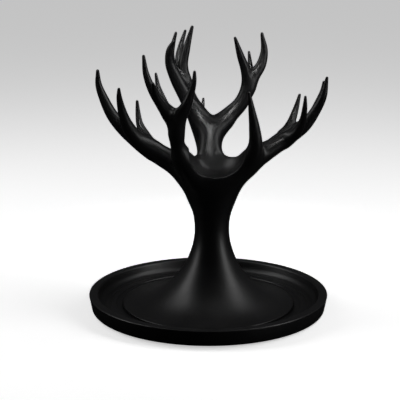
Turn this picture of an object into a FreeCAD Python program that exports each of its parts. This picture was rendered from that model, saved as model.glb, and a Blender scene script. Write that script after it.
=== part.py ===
import FreeCAD, Part
import math
import os

import Sketcher

# Antler-tree jewelry stand. A shallow round dish carries a tree whose wide flared foot runs up
# through a narrow waist to a crown, where six limbs divide into tines that hold rings, chains
# and bracelets. Origin on the dish's axis at the table, +Z up, the photographed front at -Y.

V = FreeCAD.Vector
ORIGIN = V(0, 0, 0)
UP = V(0, 0, 1)

# Sides of a hexagon, for the screw's key socket and the insert.
HEX_SIDES = 6

# Driving sizes in millimetres: the word used below, its value, and what it measures.
SIZES = (
    ("dish_radius", "100", "rim at its widest"),
    ("dish_height", "13.4", "underside of the dish to the top of its rim"),
    ("rim_land", "5.1", "flat on top of the rim, between its two roundings"),
    ("rim_outer_round", "0.8", "rounding of the rim's outer edge"),
    ("rim_inner_round", "2", "rounding of the rim's inner edge"),
    ("base_inset", "4.4", "edge of the flat underside, in from the rim's widest"),
    ("lower_round", "2.4", "rounding between the underside and the outer wall"),
    ("floor_inset", "15.5", "edge of the flat floor, in from the rim's widest"),
    ("cove_radius", "6", "cove between the floor and the inner wall"),
    ("floor_thickness", "4", "dish floor"),
    ("seat_radius", "77.3", "round recess that the tree stands in"),
    ("seat_depth", "0.6", "depth of that recess"),
    ("hub_radius", "14", "raised hub under the tree, in the middle of the dish"),
    ("hub_rise", "4.4", "height of the hub over the recess"),
    ("screw_pocket_radius", "9", "pocket for washer and screw head, from below"),
    ("screw_pocket_depth", "5", "depth of that pocket"),
    ("pad_stand", "1.2", "how far the rubber feet lift the dish off the table"),
    ("pad_radius", "6", "rubber foot"),
    ("pad_sink", "1.2", "how deep a rubber foot sits in the dish"),
    ("pad_circle", "80", "radius of the circle that the rubber feet stand on"),
    ("fit_gap", "0.15", "clearance all round a fitted piece"),
    ("foot_radius", "72", "foot of the tree where it meets the dish"),
    ("foot_edge", "0.9", "thickness of the foot at its edge"),
    ("foot_land", "11", "ring under the foot that rests on the dish"),
    ("foot_wall", "3", "wall of the hollow foot"),
    ("waist_radius", "14.35", "narrowest part of the trunk"),
    ("waist_rise", "63.3", "height of the waist over the recess"),
    ("crown_radius", "23.2", "rim of the crown"),
    ("crown_rise", "108.5", "height of the crown's rim over the recess"),
    ("trunk_lean", "3", "sideways shift of the trunk over its foot"),
    ("bowl_radius", "15.2", "mouth of the hollow in the top of the crown"),
    ("bowl_depth", "3", "depth of that hollow"),
    ("limb_sink", "14.2", "where the limbs' middle lines meet, below the crown's rim"),
    ("limb_reach", "100", "sideways unit of the limbs' shares"),
    ("limb_rise", "134", "height of the tallest tine over the place where the limbs meet"),
    ("limb_radius", "15", "limb at its root"),
    ("core_radius", "9", "core inside the foot that takes the threaded insert"),
    ("insert_radius", "4.2", "hexagonal brass insert, middle to corner"),
    ("insert_length", "12", "length of the insert"),
    ("insert_sink", "0.5", "how far the insert lies inside its hole"),
    ("thread_radius", "3", "screw shank, M6"),
    ("screw_length", "16", "shank under the head"),
    ("head_radius", "5.25", "screw head"),
    ("head_height", "3.3", "screw head"),
    ("head_round", "1.6", "rounding of the screw head"),
    ("key_width", "4", "hexagon socket across its flats"),
    ("key_depth", "2", "depth of the hexagon socket"),
    ("washer_radius", "8", "washer"),
    ("washer_thickness", "1.2", "washer"),
    ("peg_radius", "2", "locating pin between dish and tree"),
    ("peg_length", "10", "locating pin"),
    ("peg_sink", "2.4", "how deep a locating pin stands in the dish"),
    ("peg_offset", "34", "distance of a locating pin from the trunk's axis"),
    ("peg_post_radius", "4.5", "post inside the foot that takes a locating pin"),
    ("heavy_dowel_radius", "3", "steel dowel of a heavy limb"),
    ("heavy_dowel_length", "24", "steel dowel of a heavy limb"),
    ("middle_dowel_radius", "2.5", "steel dowel of a middling limb"),
    ("middle_dowel_length", "20", "steel dowel of a middling limb"),
    ("light_dowel_radius", "2", "steel dowel of a light limb"),
    ("light_dowel_length", "16", "steel dowel of a light limb"),
    ("pin_chamfer", "0.5", "broken upper edge of a locating pin"),
    ("overrun", "2", "how far a cut runs past the surface it opens"),
)

# The trunk's outline, from foot to waist and from waist to crown. Each row is the shift of the
# middle as a share of trunk_lean, the radius as a share of the way from the waist's radius, and
# the height as a share of the way from one end to the other.
FLARE_SHARES = (
    (0, 1, 0),
    (0.2, 0.844, 0.029),
    (0.53, 0.688, 0.077),
    (0.83, 0.532, 0.151),
    (0.93, 0.379, 0.253),
    (0.97, 0.247, 0.38),
    (1, 0.147, 0.52),
    (1, 0.07, 0.68),
    (1, 0.02, 0.84),
)
CROWN_SHARES = (
    (1, 0, 0),
    (1, 0.06, 0.2),
    (1.15, 0.25, 0.42),
    (1.25, 0.53, 0.62),
    (1.2, 0.8, 0.79),
    (1, 0.97, 0.9),
    (1, 0.98, 0.96),
    (1, 0.8, 1),
)

# The bowl in the crown: radius as a share of bowl_radius, depth as a share of bowl_depth.
BOWL_SHARES = ((1, 0), (0.84, 0.35), (0.63, 0.65), (0.38, 0.88), (0.1, 1))

# The hollow follows the flare inside its wall: the row of FLARE_SHARES, then how the wall's
# thickness divides into a smaller radius and a lower height.
HOLLOW_SHARES = (
    (2, 0.28, 0.96),
    (3, 0.47, 0.88),
    (4, 0.62, 0.78),
    (5, 0.78, 0.62),
    (6, 0.9, 0.44),
)

# Rounded end of a tine: distance before the tip and radius, as shares of the tip's radius.
TIP_SHARES = ((0.8, 1), (0, 0.4))

# Sides of the sections: trunk, its hollow and its bowl, a limb, a tine.
TRUNK_SIDES = 40
HOLLOW_SIDES = 24
LIMB_SIDES = 12
TINE_SIDES = 8

# How near an edge must lie to a corner of its outline to be that corner's, as a share of fit_gap.
NEAR_SHARE = 0.1

# Middle lines of the limbs. Each row is x and y as shares of limb_reach and z as a share of
# limb_rise, all from the place where the limbs meet, and the radius as a share of limb_radius.
LEFT_ROOT_SHARES = ((-0.01, 0, 0, 1), (-0.15, 0.005, 0.097, 0.79), (-0.29, 0.015, 0.179, 0.64))
LEFT_OUTER_SHARES = (
    (-0.44, 0.03, 0.246, 0.56),
    (-0.58, 0.05, 0.313, 0.49),
    (-0.71, 0.075, 0.384, 0.39),
    (-0.813, 0.095, 0.47, 0.33),
    (-0.885, 0.1, 0.575, 0.26),
    (-0.928, 0.1, 0.668, 0.18),
    (-0.933, 0.09, 0.751, 0.09),
)
LEFT_FRONT_SHARES = (
    (-0.49, 0.035, 0.267, 0.46),
    (-0.61, -0.005, 0.343, 0.4),
    (-0.693, -0.07, 0.444, 0.32),
    (-0.733, -0.12, 0.552, 0.21),
    (-0.745, -0.16, 0.631, 0.13),
    (-0.745, -0.17, 0.666, 0.08),
)
LEFT_BACK_SHARES = (
    (-0.48, 0.05, 0.265, 0.41),
    (-0.55, 0.13, 0.34, 0.31),
    (-0.6, 0.18, 0.414, 0.2),
    (-0.616, 0.21, 0.493, 0.13),
    (-0.621, 0.22, 0.551, 0.08),
)
FRONT_ROOT_SHARES = (
    (-0.02, -0.01, 0.007, 0.87),
    (-0.11, -0.12, 0.104, 0.73),
    (-0.205, -0.25, 0.224, 0.55),
)
FRONT_OUTER_SHARES = (
    (-0.268, -0.34, 0.351, 0.39),
    (-0.291, -0.39, 0.455, 0.375),
    (-0.338, -0.405, 0.541, 0.35),
    (-0.41, -0.415, 0.614, 0.29),
    (-0.47, -0.425, 0.687, 0.23),
    (-0.514, -0.435, 0.776, 0.17),
    (-0.533, -0.44, 0.882, 0.08),
)
FRONT_INNER_SHARES = (
    (-0.285, -0.375, 0.425, 0.36),
    (-0.25, -0.42, 0.53, 0.34),
    (-0.203, -0.45, 0.604, 0.27),
    (-0.166, -0.465, 0.679, 0.19),
    (-0.143, -0.485, 0.75, 0.12),
    (-0.141, -0.49, 0.796, 0.08),
)
FRONT_NEAR_SHARES = (
    (-0.335, -0.4, 0.53, 0.31),
    (-0.4, -0.5, 0.604, 0.25),
    (-0.442, -0.57, 0.679, 0.17),
    (-0.455, -0.61, 0.739, 0.08),
)
FRONT_FAR_SHARES = (
    (-0.345, -0.4, 0.545, 0.28),
    (-0.398, -0.31, 0.627, 0.2),
    (-0.43, -0.265, 0.694, 0.13),
    (-0.447, -0.24, 0.763, 0.07),
)
RIGHT_ROOT_SHARES = ((-0.01, 0, 0, 1.03), (0.11, -0.09, 0.093, 0.85), (0.24, -0.13, 0.183, 0.7))
RIGHT_OUTER_SHARES = (
    (0.365, -0.12, 0.25, 0.59),
    (0.5, -0.09, 0.308, 0.48),
    (0.635, -0.055, 0.366, 0.4),
    (0.75, -0.05, 0.431, 0.34),
    (0.83, -0.06, 0.517, 0.28),
    (0.89, -0.08, 0.612, 0.21),
    (0.918, -0.09, 0.725, 0.08),
)
RIGHT_SPIKE_SHARES = (
    (0.275, -0.155, 0.212, 0.52),
    (0.32, -0.205, 0.262, 0.5),
    (0.343, -0.25, 0.336, 0.39),
    (0.332, -0.285, 0.448, 0.29),
    (0.31, -0.31, 0.549, 0.19),
    (0.286, -0.33, 0.658, 0.08),
)
RIGHT_FRONT_SHARES = (
    (0.59, -0.07, 0.336, 0.35),
    (0.675, -0.13, 0.396, 0.28),
    (0.72, -0.19, 0.478, 0.19),
    (0.733, -0.235, 0.567, 0.13),
    (0.734, -0.25, 0.628, 0.07),
)
RIGHT_BACK_SHARES = (
    (0.4, -0.07, 0.26, 0.38),
    (0.5, 0.05, 0.306, 0.35),
    (0.6, 0.165, 0.354, 0.3),
    (0.66, 0.25, 0.41, 0.24),
    (0.702, 0.3, 0.489, 0.17),
    (0.736, 0.33, 0.579, 0.08),
)
RIGHT_FAR_SHARES = (
    (0.59, 0.16, 0.351, 0.27),
    (0.72, 0.22, 0.392, 0.26),
    (0.83, 0.25, 0.459, 0.24),
    (0.89, 0.27, 0.545, 0.19),
    (0.922, 0.28, 0.612, 0.13),
    (0.932, 0.28, 0.666, 0.08),
)
CROWN_WEB_SHARES = ((-0.14, -0.02, 0.135, 0.6), (0, -0.03, 0.135, 0.6), (0.13, -0.05, 0.15, 0.6))
REAR_ROOT_SHARES = ((-0.01, 0.01, -0.007, 1), (-0.005, 0.055, 0.105, 0.83), (-0.002, 0.1, 0.175, 0.69))
REAR_OUTER_SHARES = (
    (0, 0.145, 0.25, 0.6),
    (-0.007, 0.21, 0.332, 0.6),
    (-0.09, 0.3, 0.433, 0.5),
    (-0.177, 0.38, 0.541, 0.4),
    (-0.227, 0.44, 0.657, 0.36),
    (-0.24, 0.46, 0.754, 0.27),
    (-0.213, 0.475, 0.858, 0.21),
    (-0.165, 0.49, 0.995, 0.09),
)
REAR_LEFT_SHARES = (
    (-0.06, 0.26, 0.39, 0.44),
    (-0.15, 0.29, 0.485, 0.44),
    (-0.232, 0.305, 0.59, 0.39),
    (-0.302, 0.3, 0.694, 0.35),
    (-0.35, 0.275, 0.791, 0.26),
    (-0.347, 0.245, 0.873, 0.17),
    (-0.318, 0.23, 0.92, 0.08),
)
REAR_MIDDLE_SHARES = (
    (-0.215, 0.44, 0.65, 0.31),
    (-0.26, 0.505, 0.724, 0.24),
    (-0.282, 0.555, 0.791, 0.19),
    (-0.261, 0.595, 0.873, 0.15),
    (-0.225, 0.63, 0.959, 0.08),
)
REAR_FAR_SHARES = (
    (-0.21, 0.37, 0.604, 0.27),
    (-0.305, 0.42, 0.709, 0.23),
    (-0.34, 0.49, 0.813, 0.17),
    (-0.323, 0.535, 0.896, 0.12),
    (-0.303, 0.55, 0.951, 0.08),
)
REAR_RIGHT_ROOT_SHARES = ((0, 0.2, 0.29, 0.5), (0.043, 0.26, 0.362, 0.53), (0.143, 0.315, 0.446, 0.47))
REAR_RIGHT_OUTER_SHARES = (
    (0.24, 0.34, 0.521, 0.41),
    (0.302, 0.355, 0.61, 0.39),
    (0.35, 0.375, 0.69, 0.35),
    (0.415, 0.4, 0.765, 0.28),
    (0.439, 0.415, 0.84, 0.21),
    (0.419, 0.42, 0.954, 0.09),
)
REAR_RIGHT_INNER_SHARES = (
    (0.305, 0.357, 0.625, 0.32),
    (0.28, 0.33, 0.735, 0.27),
    (0.235, 0.3, 0.832, 0.2),
    (0.19, 0.27, 0.939, 0.08),
)
REAR_RIGHT_FAR_SHARES = (
    (0.335, 0.38, 0.664, 0.24),
    (0.325, 0.44, 0.75, 0.15),
    (0.314, 0.48, 0.836, 0.07),
)
BACK_ROOT_SHARES = (
    (-0.025, 0.14, 0.225, 0.53),
    (-0.055, 0.21, 0.27, 0.47),
    (-0.095, 0.31, 0.335, 0.41),
    (-0.135, 0.41, 0.392, 0.36),
    (-0.155, 0.465, 0.418, 0.33),
)
BACK_OUTER_SHARES = (
    (-0.18, 0.53, 0.45, 0.3),
    (-0.22, 0.66, 0.53, 0.23),
    (-0.245, 0.76, 0.7, 0.08),
)
BACK_INNER_SHARES = (
    (-0.16, 0.5, 0.438, 0.25),
    (-0.11, 0.56, 0.44, 0.19),
    (-0.08, 0.615, 0.465, 0.13),
    (-0.07, 0.665, 0.52, 0.07),
)

doc = FreeCAD.newDocument("JewelryStand")
sheet = doc.addObject("Spreadsheet::Sheet", "Sizes")
for row, (word, amount, meaning) in enumerate(SIZES, start=1):
    sheet.set("A%d" % row, meaning)
    sheet.set("B%d" % row, amount)
    sheet.setAlias("B%d" % row, word)
doc.recompute()

SEAT = "(Sizes.pad_stand + Sizes.floor_thickness - Sizes.seat_depth)"
HUB_TOP = "(%s + Sizes.hub_rise)" % SEAT
POCKET_TOP = "(Sizes.pad_stand + Sizes.screw_pocket_depth)"
MEETING = "(%s + Sizes.crown_rise - Sizes.limb_sink)" % SEAT


def size(word):
    """A driving size as a number."""
    return float(sheet.get(word))


seat_height = size("pad_stand") + size("floor_thickness") - size("seat_depth")
meeting_height = seat_height + size("crown_rise") - size("limb_sink")


def bind(thing, **places):
    """Ties properties of an object to sums of the driving sizes."""
    for name, rule in places.items():
        thing.setExpression(name, rule)
    return thing


def bind_base(thing, x_rule, y_rule, z_rule):
    """Ties the place of an object to sums of the driving sizes."""
    for axis, rule in zip("xyz", (x_rule, y_rule, z_rule)):
        thing.setExpression(".Placement.Base." + axis, rule)
    return thing


def plane_of(body, role):
    """One of a body's own origin planes or axes."""
    return next(item for item in body.Origin.OriginFeatures if item.Role == role)


def new_body(label):
    body = doc.addObject("PartDesign::Body", label)
    body.Label = label
    return body


def sketch_on(body, name, role, lift=None):
    """An empty sketch on one of the body's planes, lifted off it by a rule where one is given."""
    sketch = body.newObject("Sketcher::SketchObject", name)
    sketch.AttachmentSupport = [(plane_of(body, role), "")]
    sketch.MapMode = "FlatFace"
    if lift:
        sketch.setExpression(".AttachmentOffset.Base.z", lift)
    return sketch


def tie_point(sketch, line, end, across, height):
    """Ties a point of a sketch to rules for its two places; "0" puts it on the axis."""
    for kind, rule, axis in (("DistanceX", across, -2), ("DistanceY", height, -1)):
        if rule == "0":
            sketch.addConstraint(Sketcher.Constraint("PointOnObject", line, end, axis))
        else:
            index = sketch.addConstraint(Sketcher.Constraint(kind, -1, 1, line, end, 1.0))
            sketch.setExpression("Constraints[%d]" % index, rule)


def outline(body, name, corners):
    """A closed outline of straight runs on the upright plane, each corner tied to its rules.

    The corners start evenly round a unit circle, and their rules pull them into place.
    """
    sketch = sketch_on(body, name, "XZ_Plane")
    count = len(corners)
    turns = [2 * math.pi * place / count for place in range(count)]
    start = [V(1 + math.cos(turn), math.sin(turn), 0) for turn in turns]
    for place in range(count):
        sketch.addGeometry(Part.LineSegment(start[place], start[(place + 1) % count]), False)
    for place in range(count):
        sketch.addConstraint(Sketcher.Constraint("Coincident", place, 2, (place + 1) % count, 1))
    for place, (across, height) in enumerate(corners):
        tie_point(sketch, place, 1, across, height)
    return sketch


def eased(middle_x, middle_z, radius, start, end, steps):
    """Corners of a rounding in short straight steps, between two angles from the upright."""
    corners = []
    for place in range(steps + 1):
        angle = start + (end - start) * place / steps
        corners.append(
            (
                "%s + %s * sin(%g)" % (middle_x, radius, angle),
                "%s + %s * cos(%g)" % (middle_z, radius, angle),
            )
        )
    return corners


def turned(body, sketch, name="Turning"):
    """The outline turned once round the upright axis."""
    feature = body.newObject("PartDesign::Revolution", name)
    feature.Profile = sketch
    feature.ReferenceAxis = (sketch, ["V_Axis"])
    feature.Angle = 360
    sketch.Visibility = False
    doc.recompute()
    return feature


def circle_sketch(body, name, radius, lift, x_rule, y_rule="0"):
    """A circle on the level plane at a height, at a place tied to its rules."""
    sketch = sketch_on(body, name, "XY_Plane", lift)
    sketch.addGeometry(Part.Circle(ORIGIN, UP, 1), False)
    index = sketch.addConstraint(Sketcher.Constraint("Radius", 0, 1.0))
    sketch.setExpression("Constraints[%d]" % index, radius)
    tie_point(sketch, 0, 3, x_rule, y_rule)
    return sketch


def pocketed(body, sketch, depth, name, upwards=False):
    """A pocket that must take material away."""
    before = body.Shape.Volume
    feature = body.newObject("PartDesign::Pocket", name)
    feature.Profile = sketch
    feature.Reversed = upwards
    feature.setExpression("Length", depth)
    doc.recompute()
    if body.Shape.Volume >= before:
        raise RuntimeError(name + " cuts nothing")
    return feature


def ring_edges(shape, corners):
    """Names of the round edges whose radius and height match one of the outline's corners."""
    near = size("fit_gap") * NEAR_SHARE
    names = []
    for index, edge in enumerate(shape.Edges, start=1):
        if not isinstance(edge.Curve, Part.Circle):
            continue
        ring = (edge.Curve.Radius, edge.Curve.Center.z)
        if any(math.hypot(ring[0] - r, ring[1] - z) < near for r, z in corners):
            names.append("Edge%d" % index)
    return names


def corner_places(sketch, indexes):
    """Radius and height of some corners of a solved outline."""
    return [(sketch.Geometry[i].StartPoint.x, sketch.Geometry[i].StartPoint.y) for i in indexes]


def chamfered(body, corners, width, name):
    base = body.Tip
    feature = body.newObject("PartDesign::Chamfer", name)
    feature.Base = (base, ring_edges(base.Shape, corners))
    feature.setExpression("Size", width)
    doc.recompute()
    return feature


def cylinder(name, radius, height):
    return bind(doc.addObject("Part::Cylinder", name), Radius=radius, Height=height)


def combined(name, kind, first, second):
    """A boolean of two objects: Part::Cut, Part::Fuse or Part::Common."""
    feature = doc.addObject(kind, name)
    feature.Base = first
    feature.Tool = second
    return feature


def joined(name, pieces):
    feature = doc.addObject("Part::MultiFuse", name)
    feature.Shapes = pieces
    feature.Refine = False
    return feature


def polygon(name, radius, sides):
    """A level ring of straight sides, its corners on a circle of that radius."""
    ring = doc.addObject("Part::RegularPolygon", name)
    ring.Polygon = sides
    return bind(ring, Circumradius=radius)


def loft_of(name, sections):
    """A solid of flat faces through rings of as many sides each."""
    feature = doc.addObject("Part::Loft", name)
    feature.Sections = sections
    feature.Solid = True
    feature.Ruled = True
    feature.Linearize = True
    return feature


# Dish

RIM_TOP = "Sizes.pad_stand + Sizes.dish_height"
FLOOR_TOP = "Sizes.pad_stand + Sizes.floor_thickness"
FLOOR_EDGE = "Sizes.dish_radius - Sizes.floor_inset"
BASE_EDGE = "Sizes.dish_radius - Sizes.base_inset"
OUTER_MIDDLE = "Sizes.dish_radius - Sizes.rim_outer_round"
INNER_MIDDLE = OUTER_MIDDLE + " - Sizes.rim_land"


def make_dish():
    """A turned dish: raised rim, cove, recess for the tree, hub, and the screw's stepped hole."""
    dish = new_body("dish")
    hole = "Sizes.thread_radius + 2 * Sizes.fit_gap"
    cove, inner = "Sizes.cove_radius", "Sizes.rim_inner_round"
    outer, lower = "Sizes.rim_outer_round", "Sizes.lower_round"
    corners = [
        (hole, HUB_TOP),
        ("Sizes.hub_radius", HUB_TOP),
        ("Sizes.hub_radius", SEAT),
        ("Sizes.seat_radius", SEAT),
        ("Sizes.seat_radius", FLOOR_TOP),
    ]
    corners += eased(FLOOR_EDGE, "%s + %s" % (FLOOR_TOP, cove), cove, 180, 120, steps=2)
    corners += eased(INNER_MIDDLE, "%s - %s" % (RIM_TOP, inner), inner, -60, 0, steps=1)
    corners += eased(OUTER_MIDDLE, "%s - %s" % (RIM_TOP, outer), outer, 0, 90, steps=2)
    corners += eased(BASE_EDGE, "Sizes.pad_stand + " + lower, lower, 105, 180, steps=1)
    corners += [
        ("Sizes.screw_pocket_radius", "Sizes.pad_stand"),
        ("Sizes.screw_pocket_radius", POCKET_TOP),
        (hole, POCKET_TOP),
    ]
    turned(dish, outline(dish, "DishOutline", corners))

    first_angle = PAD_PLACES[0][1]
    recess = circle_sketch(
        dish,
        "PadRecess",
        "Sizes.pad_radius + Sizes.fit_gap",
        "Sizes.pad_stand",
        "Sizes.pad_circle * cos(%g)" % first_angle,
        "Sizes.pad_circle * sin(%g)" % first_angle,
    )
    first_recess = pocketed(dish, recess, "Sizes.pad_sink", "PadPocket", upwards=True)
    around = dish.newObject("PartDesign::PolarPattern", "PadPockets")
    around.Originals = [first_recess]
    around.Axis = (plane_of(dish, "Z_Axis"), [""])
    around.Angle = 360
    around.Occurrences = len(PAD_PLACES)
    dish.Tip = around
    doc.recompute()

    for side, sign in (("Left", "-"), ("Right", "+")):
        x_rule = "Sizes.trunk_lean %s Sizes.peg_offset" % sign
        hole_sketch = circle_sketch(
            dish, "PegHole" + side, "Sizes.peg_radius + Sizes.fit_gap", SEAT, x_rule
        )
        pocketed(dish, hole_sketch, "Sizes.peg_sink", "PegPocket" + side)
    return dish


# Rubber feet, one on each diagonal: node and angle round the dish in degrees.
PAD_PLACES = (
    ("foot_rear_right", 45),
    ("foot_rear_left", 135),
    ("foot_front_left", 225),
    ("foot_front_right", 315),
)


def make_rubber_foot(label, angle):
    """A round rubber pad in its recess under the dish."""
    foot = new_body(label)
    profile = outline(
        foot,
        "PadOutline",
        (
            ("0", "0"),
            ("Sizes.pad_radius", "0"),
            ("Sizes.pad_radius", "Sizes.pad_stand + Sizes.pad_sink"),
            ("0", "Sizes.pad_stand + Sizes.pad_sink"),
        ),
    )
    turned(foot, profile)
    bind_base(foot, "Sizes.pad_circle * cos(%g)" % angle, "Sizes.pad_circle * sin(%g)" % angle, "0")
    return foot


# Screw, washer and insert

def make_screw():
    """Button-head screw from below: domed head with a hexagon socket, plain shank."""
    screw = new_body("tree_screw")
    dome = "Sizes.head_radius - Sizes.head_round"
    end = "Sizes.head_height + Sizes.screw_length"
    corners = [("0", "0")]
    corners += eased(dome, "Sizes.head_round", "Sizes.head_round", 180, 90, steps=2)
    corners += [
        ("Sizes.head_radius", "Sizes.head_height"),
        ("Sizes.thread_radius", "Sizes.head_height"),
        ("Sizes.thread_radius", end),
        ("0", end),
    ]
    turned(screw, outline(screw, "ScrewOutline", corners))
    key = sketch_on(screw, "KeySocket", "XY_Plane")
    turns = [2 * math.pi / HEX_SIDES * place for place in range(HEX_SIDES)]
    spots = [V(math.cos(turn), math.sin(turn), 0) for turn in turns]
    for place in range(HEX_SIDES):
        key.addGeometry(Part.LineSegment(spots[place], spots[(place + 1) % HEX_SIDES]), False)
    ring = key.addGeometry(Part.Circle(ORIGIN, UP, 1), True)
    for place in range(HEX_SIDES):
        after = (place + 1) % HEX_SIDES
        key.addConstraint(Sketcher.Constraint("Coincident", place, 2, after, 1))
        key.addConstraint(Sketcher.Constraint("PointOnObject", place, 1, ring))
    for place in range(1, HEX_SIDES):
        key.addConstraint(Sketcher.Constraint("Equal", 0, place))
    key.addConstraint(Sketcher.Constraint("Coincident", ring, 3, -1, 1))
    key.addConstraint(Sketcher.Constraint("PointOnObject", 0, 1, -1))
    index = key.addConstraint(Sketcher.Constraint("Radius", ring, 1.0))
    key.setExpression("Constraints[%d]" % index, "Sizes.key_width / sqrt(3)")
    pocketed(screw, key, "Sizes.key_depth", "KeyPocket", upwards=True)
    lift = POCKET_TOP + " - Sizes.washer_thickness - Sizes.head_height"
    bind_base(screw, "0", "0", lift)
    return screw


def make_washer():
    washer = new_body("screw_washer")
    bore = "Sizes.thread_radius + Sizes.fit_gap"
    top = "Sizes.washer_thickness"
    corners = ((bore, "0"), ("Sizes.washer_radius", "0"), ("Sizes.washer_radius", top), (bore, top))
    turned(washer, outline(washer, "WasherOutline", corners))
    lift = POCKET_TOP + " - Sizes.washer_thickness"
    bind_base(washer, "0", "0", lift)
    return washer


def make_insert():
    """Hexagonal brass insert, bored for the screw, let into the core of the tree's foot."""
    blank = doc.addObject("Part::Prism", "InsertBlank")
    blank.Polygon = HEX_SIDES
    bind(blank, Circumradius="Sizes.insert_radius", Height="Sizes.insert_length")
    bore = cylinder("InsertBore", "Sizes.thread_radius + Sizes.fit_gap", "Sizes.insert_length")
    for part in (blank, bore):
        bind_base(part, "0", "0", HUB_TOP + " + Sizes.insert_sink")
    insert = combined("Insert", "Part::Cut", blank, bore)
    insert.Label = "threaded_insert"
    return insert


def make_pin(label, radius, length):
    """A steel pin with its middle at the body's origin, and its outline."""
    pin = new_body(label)
    corners = (
        ("0", "-%s / 2" % length),
        (radius, "-%s / 2" % length),
        (radius, "%s / 2" % length),
        ("0", "%s / 2" % length),
    )
    profile = outline(pin, "PinOutline", corners)
    turned(pin, profile)
    return pin, profile


def make_peg(label, sign):
    """A pin that stands in the dish, its upper edge broken so that the tree finds it."""
    peg, profile = make_pin(label, "Sizes.peg_radius", "Sizes.peg_length")
    chamfered(peg, corner_places(profile, (2,)), "Sizes.pin_chamfer", "BrokenEdge")
    lift = SEAT + " - Sizes.peg_sink + Sizes.peg_length / 2"
    bind_base(peg, "Sizes.trunk_lean %s Sizes.peg_offset" % sign, "0", lift)
    return peg


# Limbs

def station(share):
    """A row of a limb's shares as a point."""
    x, y, z = share[:3]
    reach = size("limb_reach")
    return V(size("trunk_lean") + x * reach, y * reach, meeting_height + z * size("limb_rise"))


def heading_of(rows):
    """The direction from the second row of a limb or tine to its last."""
    return (station(rows[-1]) - station(rows[1])).normalize()


def local_headings(rows):
    """The direction of the middle line at each row, from the rows on either side."""
    spots = [station(row) for row in rows]
    last = len(spots) - 1
    return [(spots[min(i + 1, last)] - spots[max(i - 1, 0)]).normalize() for i in range(last + 1)]


def section(name, share, heading, way, sides, back=0, narrow=1):
    """A many-sided section of a limb, square to its heading.

    It is a little wider where the middle line leaves the heading, so that the limb keeps its
    thickness. It may lie back from its row along the line by a share of its own radius.
    """
    x, y, z, radius = share
    widening = 1 / math.sqrt(abs(way.dot(heading)))
    ring = polygon(name, "Sizes.limb_radius * %.6f" % (radius * narrow * widening), sides)
    ring.Placement = FreeCAD.Placement(ORIGIN, FreeCAD.Rotation(UP, heading))
    step = "Sizes.limb_radius * %.6f"
    bind_base(
        ring,
        "Sizes.trunk_lean + Sizes.limb_reach * %.6f - " % x + step % (radius * back * way.x),
        "Sizes.limb_reach * %.6f - " % y + step % (radius * back * way.y),
        MEETING + " + Sizes.limb_rise * %.6f - " % z + step % (radius * back * way.z),
    )
    return ring


def strand(name, rows, first=0, stop=None, heading=None, sides=TINE_SIDES):
    """A tapering limb or tine through parallel sections, with a rounded tip if it ends.

    Only the rows from first up to stop are made; the others steer the sections beside them, so
    that the two pieces parted at a seam have one and the same face there.
    """
    heading = heading or heading_of(rows)
    stop = stop or len(rows)
    ways = local_headings(rows)
    rings = []
    for place in range(first, stop):
        if place == len(rows) - 1:
            for back, narrow in TIP_SHARES:
                label = "%sTip%d" % (name, len(rings))
                rings.append(section(label, rows[place], heading, ways[place], sides, back, narrow))
        else:
            label = "%sRing%d" % (name, place)
            rings.append(section(label, rows[place], heading, ways[place], sides))
    return loft_of(name, rings)


def place_on_seam(thing, root, outer):
    """Stands an object on a seam: its origin on the root's last row, its +Z along the heading."""
    x, y, z = root[-1][:3]
    thing.Placement = FreeCAD.Placement(ORIGIN, FreeCAD.Rotation(UP, heading_of(root + outer)))
    bind_base(
        thing,
        "Sizes.trunk_lean + Sizes.limb_reach * %.6f" % x,
        "Sizes.limb_reach * %.6f" % y,
        MEETING + " + Sizes.limb_rise * %.6f" % z,
    )
    return thing


def dowel_hole(name, weight, root, outer):
    """The drilling for a limb's dowel, through both sides of the seam."""
    radius = "Sizes.%s_dowel_radius + Sizes.fit_gap" % weight
    half = "(Sizes.%s_dowel_length / 2 + Sizes.fit_gap)" % weight
    corners = (("0", "-" + half), (radius, "-" + half), (radius, half), ("0", half))
    drill = new_body(name)
    turned(drill, outline(drill, name + "Outline", corners))
    return place_on_seam(drill, root, outer)


def make_dowel(label, weight, root, outer):
    radius = "Sizes.%s_dowel_radius" % weight
    dowel = make_pin(label, radius, "Sizes.%s_dowel_length" % weight)[0]
    return place_on_seam(dowel, root, outer)


def make_limb(label, root, outer, tines, drills, stubs=()):
    """A limb from its seam outwards: its main line, its side tines and any stubs, drilled."""
    name = label.title().replace("_", "")
    parts = [strand(name + "Main", root + outer, first=len(root) - 1, sides=LIMB_SIDES)]
    for number, shares in enumerate(tines):
        parts.append(strand("%sTine%d" % (name, number), shares))
    parts += list(stubs)
    solid = joined(name + "Joined", parts)
    for number, hole in enumerate(drills):
        solid = combined("%sDrilled%d" % (name, number), "Part::Cut", solid, hole)
    solid.Label = label
    return solid


def root_stub(name, root, outer):
    """The root of a limb up to its seam, which stays on the piece that carries the limb."""
    return strand(name, root + outer, stop=len(root), sides=LIMB_SIDES)


# Trunk

def trunk_ring(name, lean, radius, height, sides=TRUNK_SIDES):
    """A level ring of the trunk from its rules."""
    return bind_base(polygon(name, radius, sides), lean, "0", height)


def flare_rules(lean, radius, height):
    """Rules for the middle, radius and height of a row of FLARE_SHARES."""
    edge = "(%s + Sizes.foot_edge)" % SEAT
    rise = "(Sizes.waist_rise - Sizes.foot_edge)"
    return (
        "Sizes.trunk_lean * %g" % lean,
        "Sizes.waist_radius + (Sizes.foot_radius - Sizes.waist_radius) * %g" % radius,
        "%s + %s * %g" % (edge, rise, height),
    )


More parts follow.
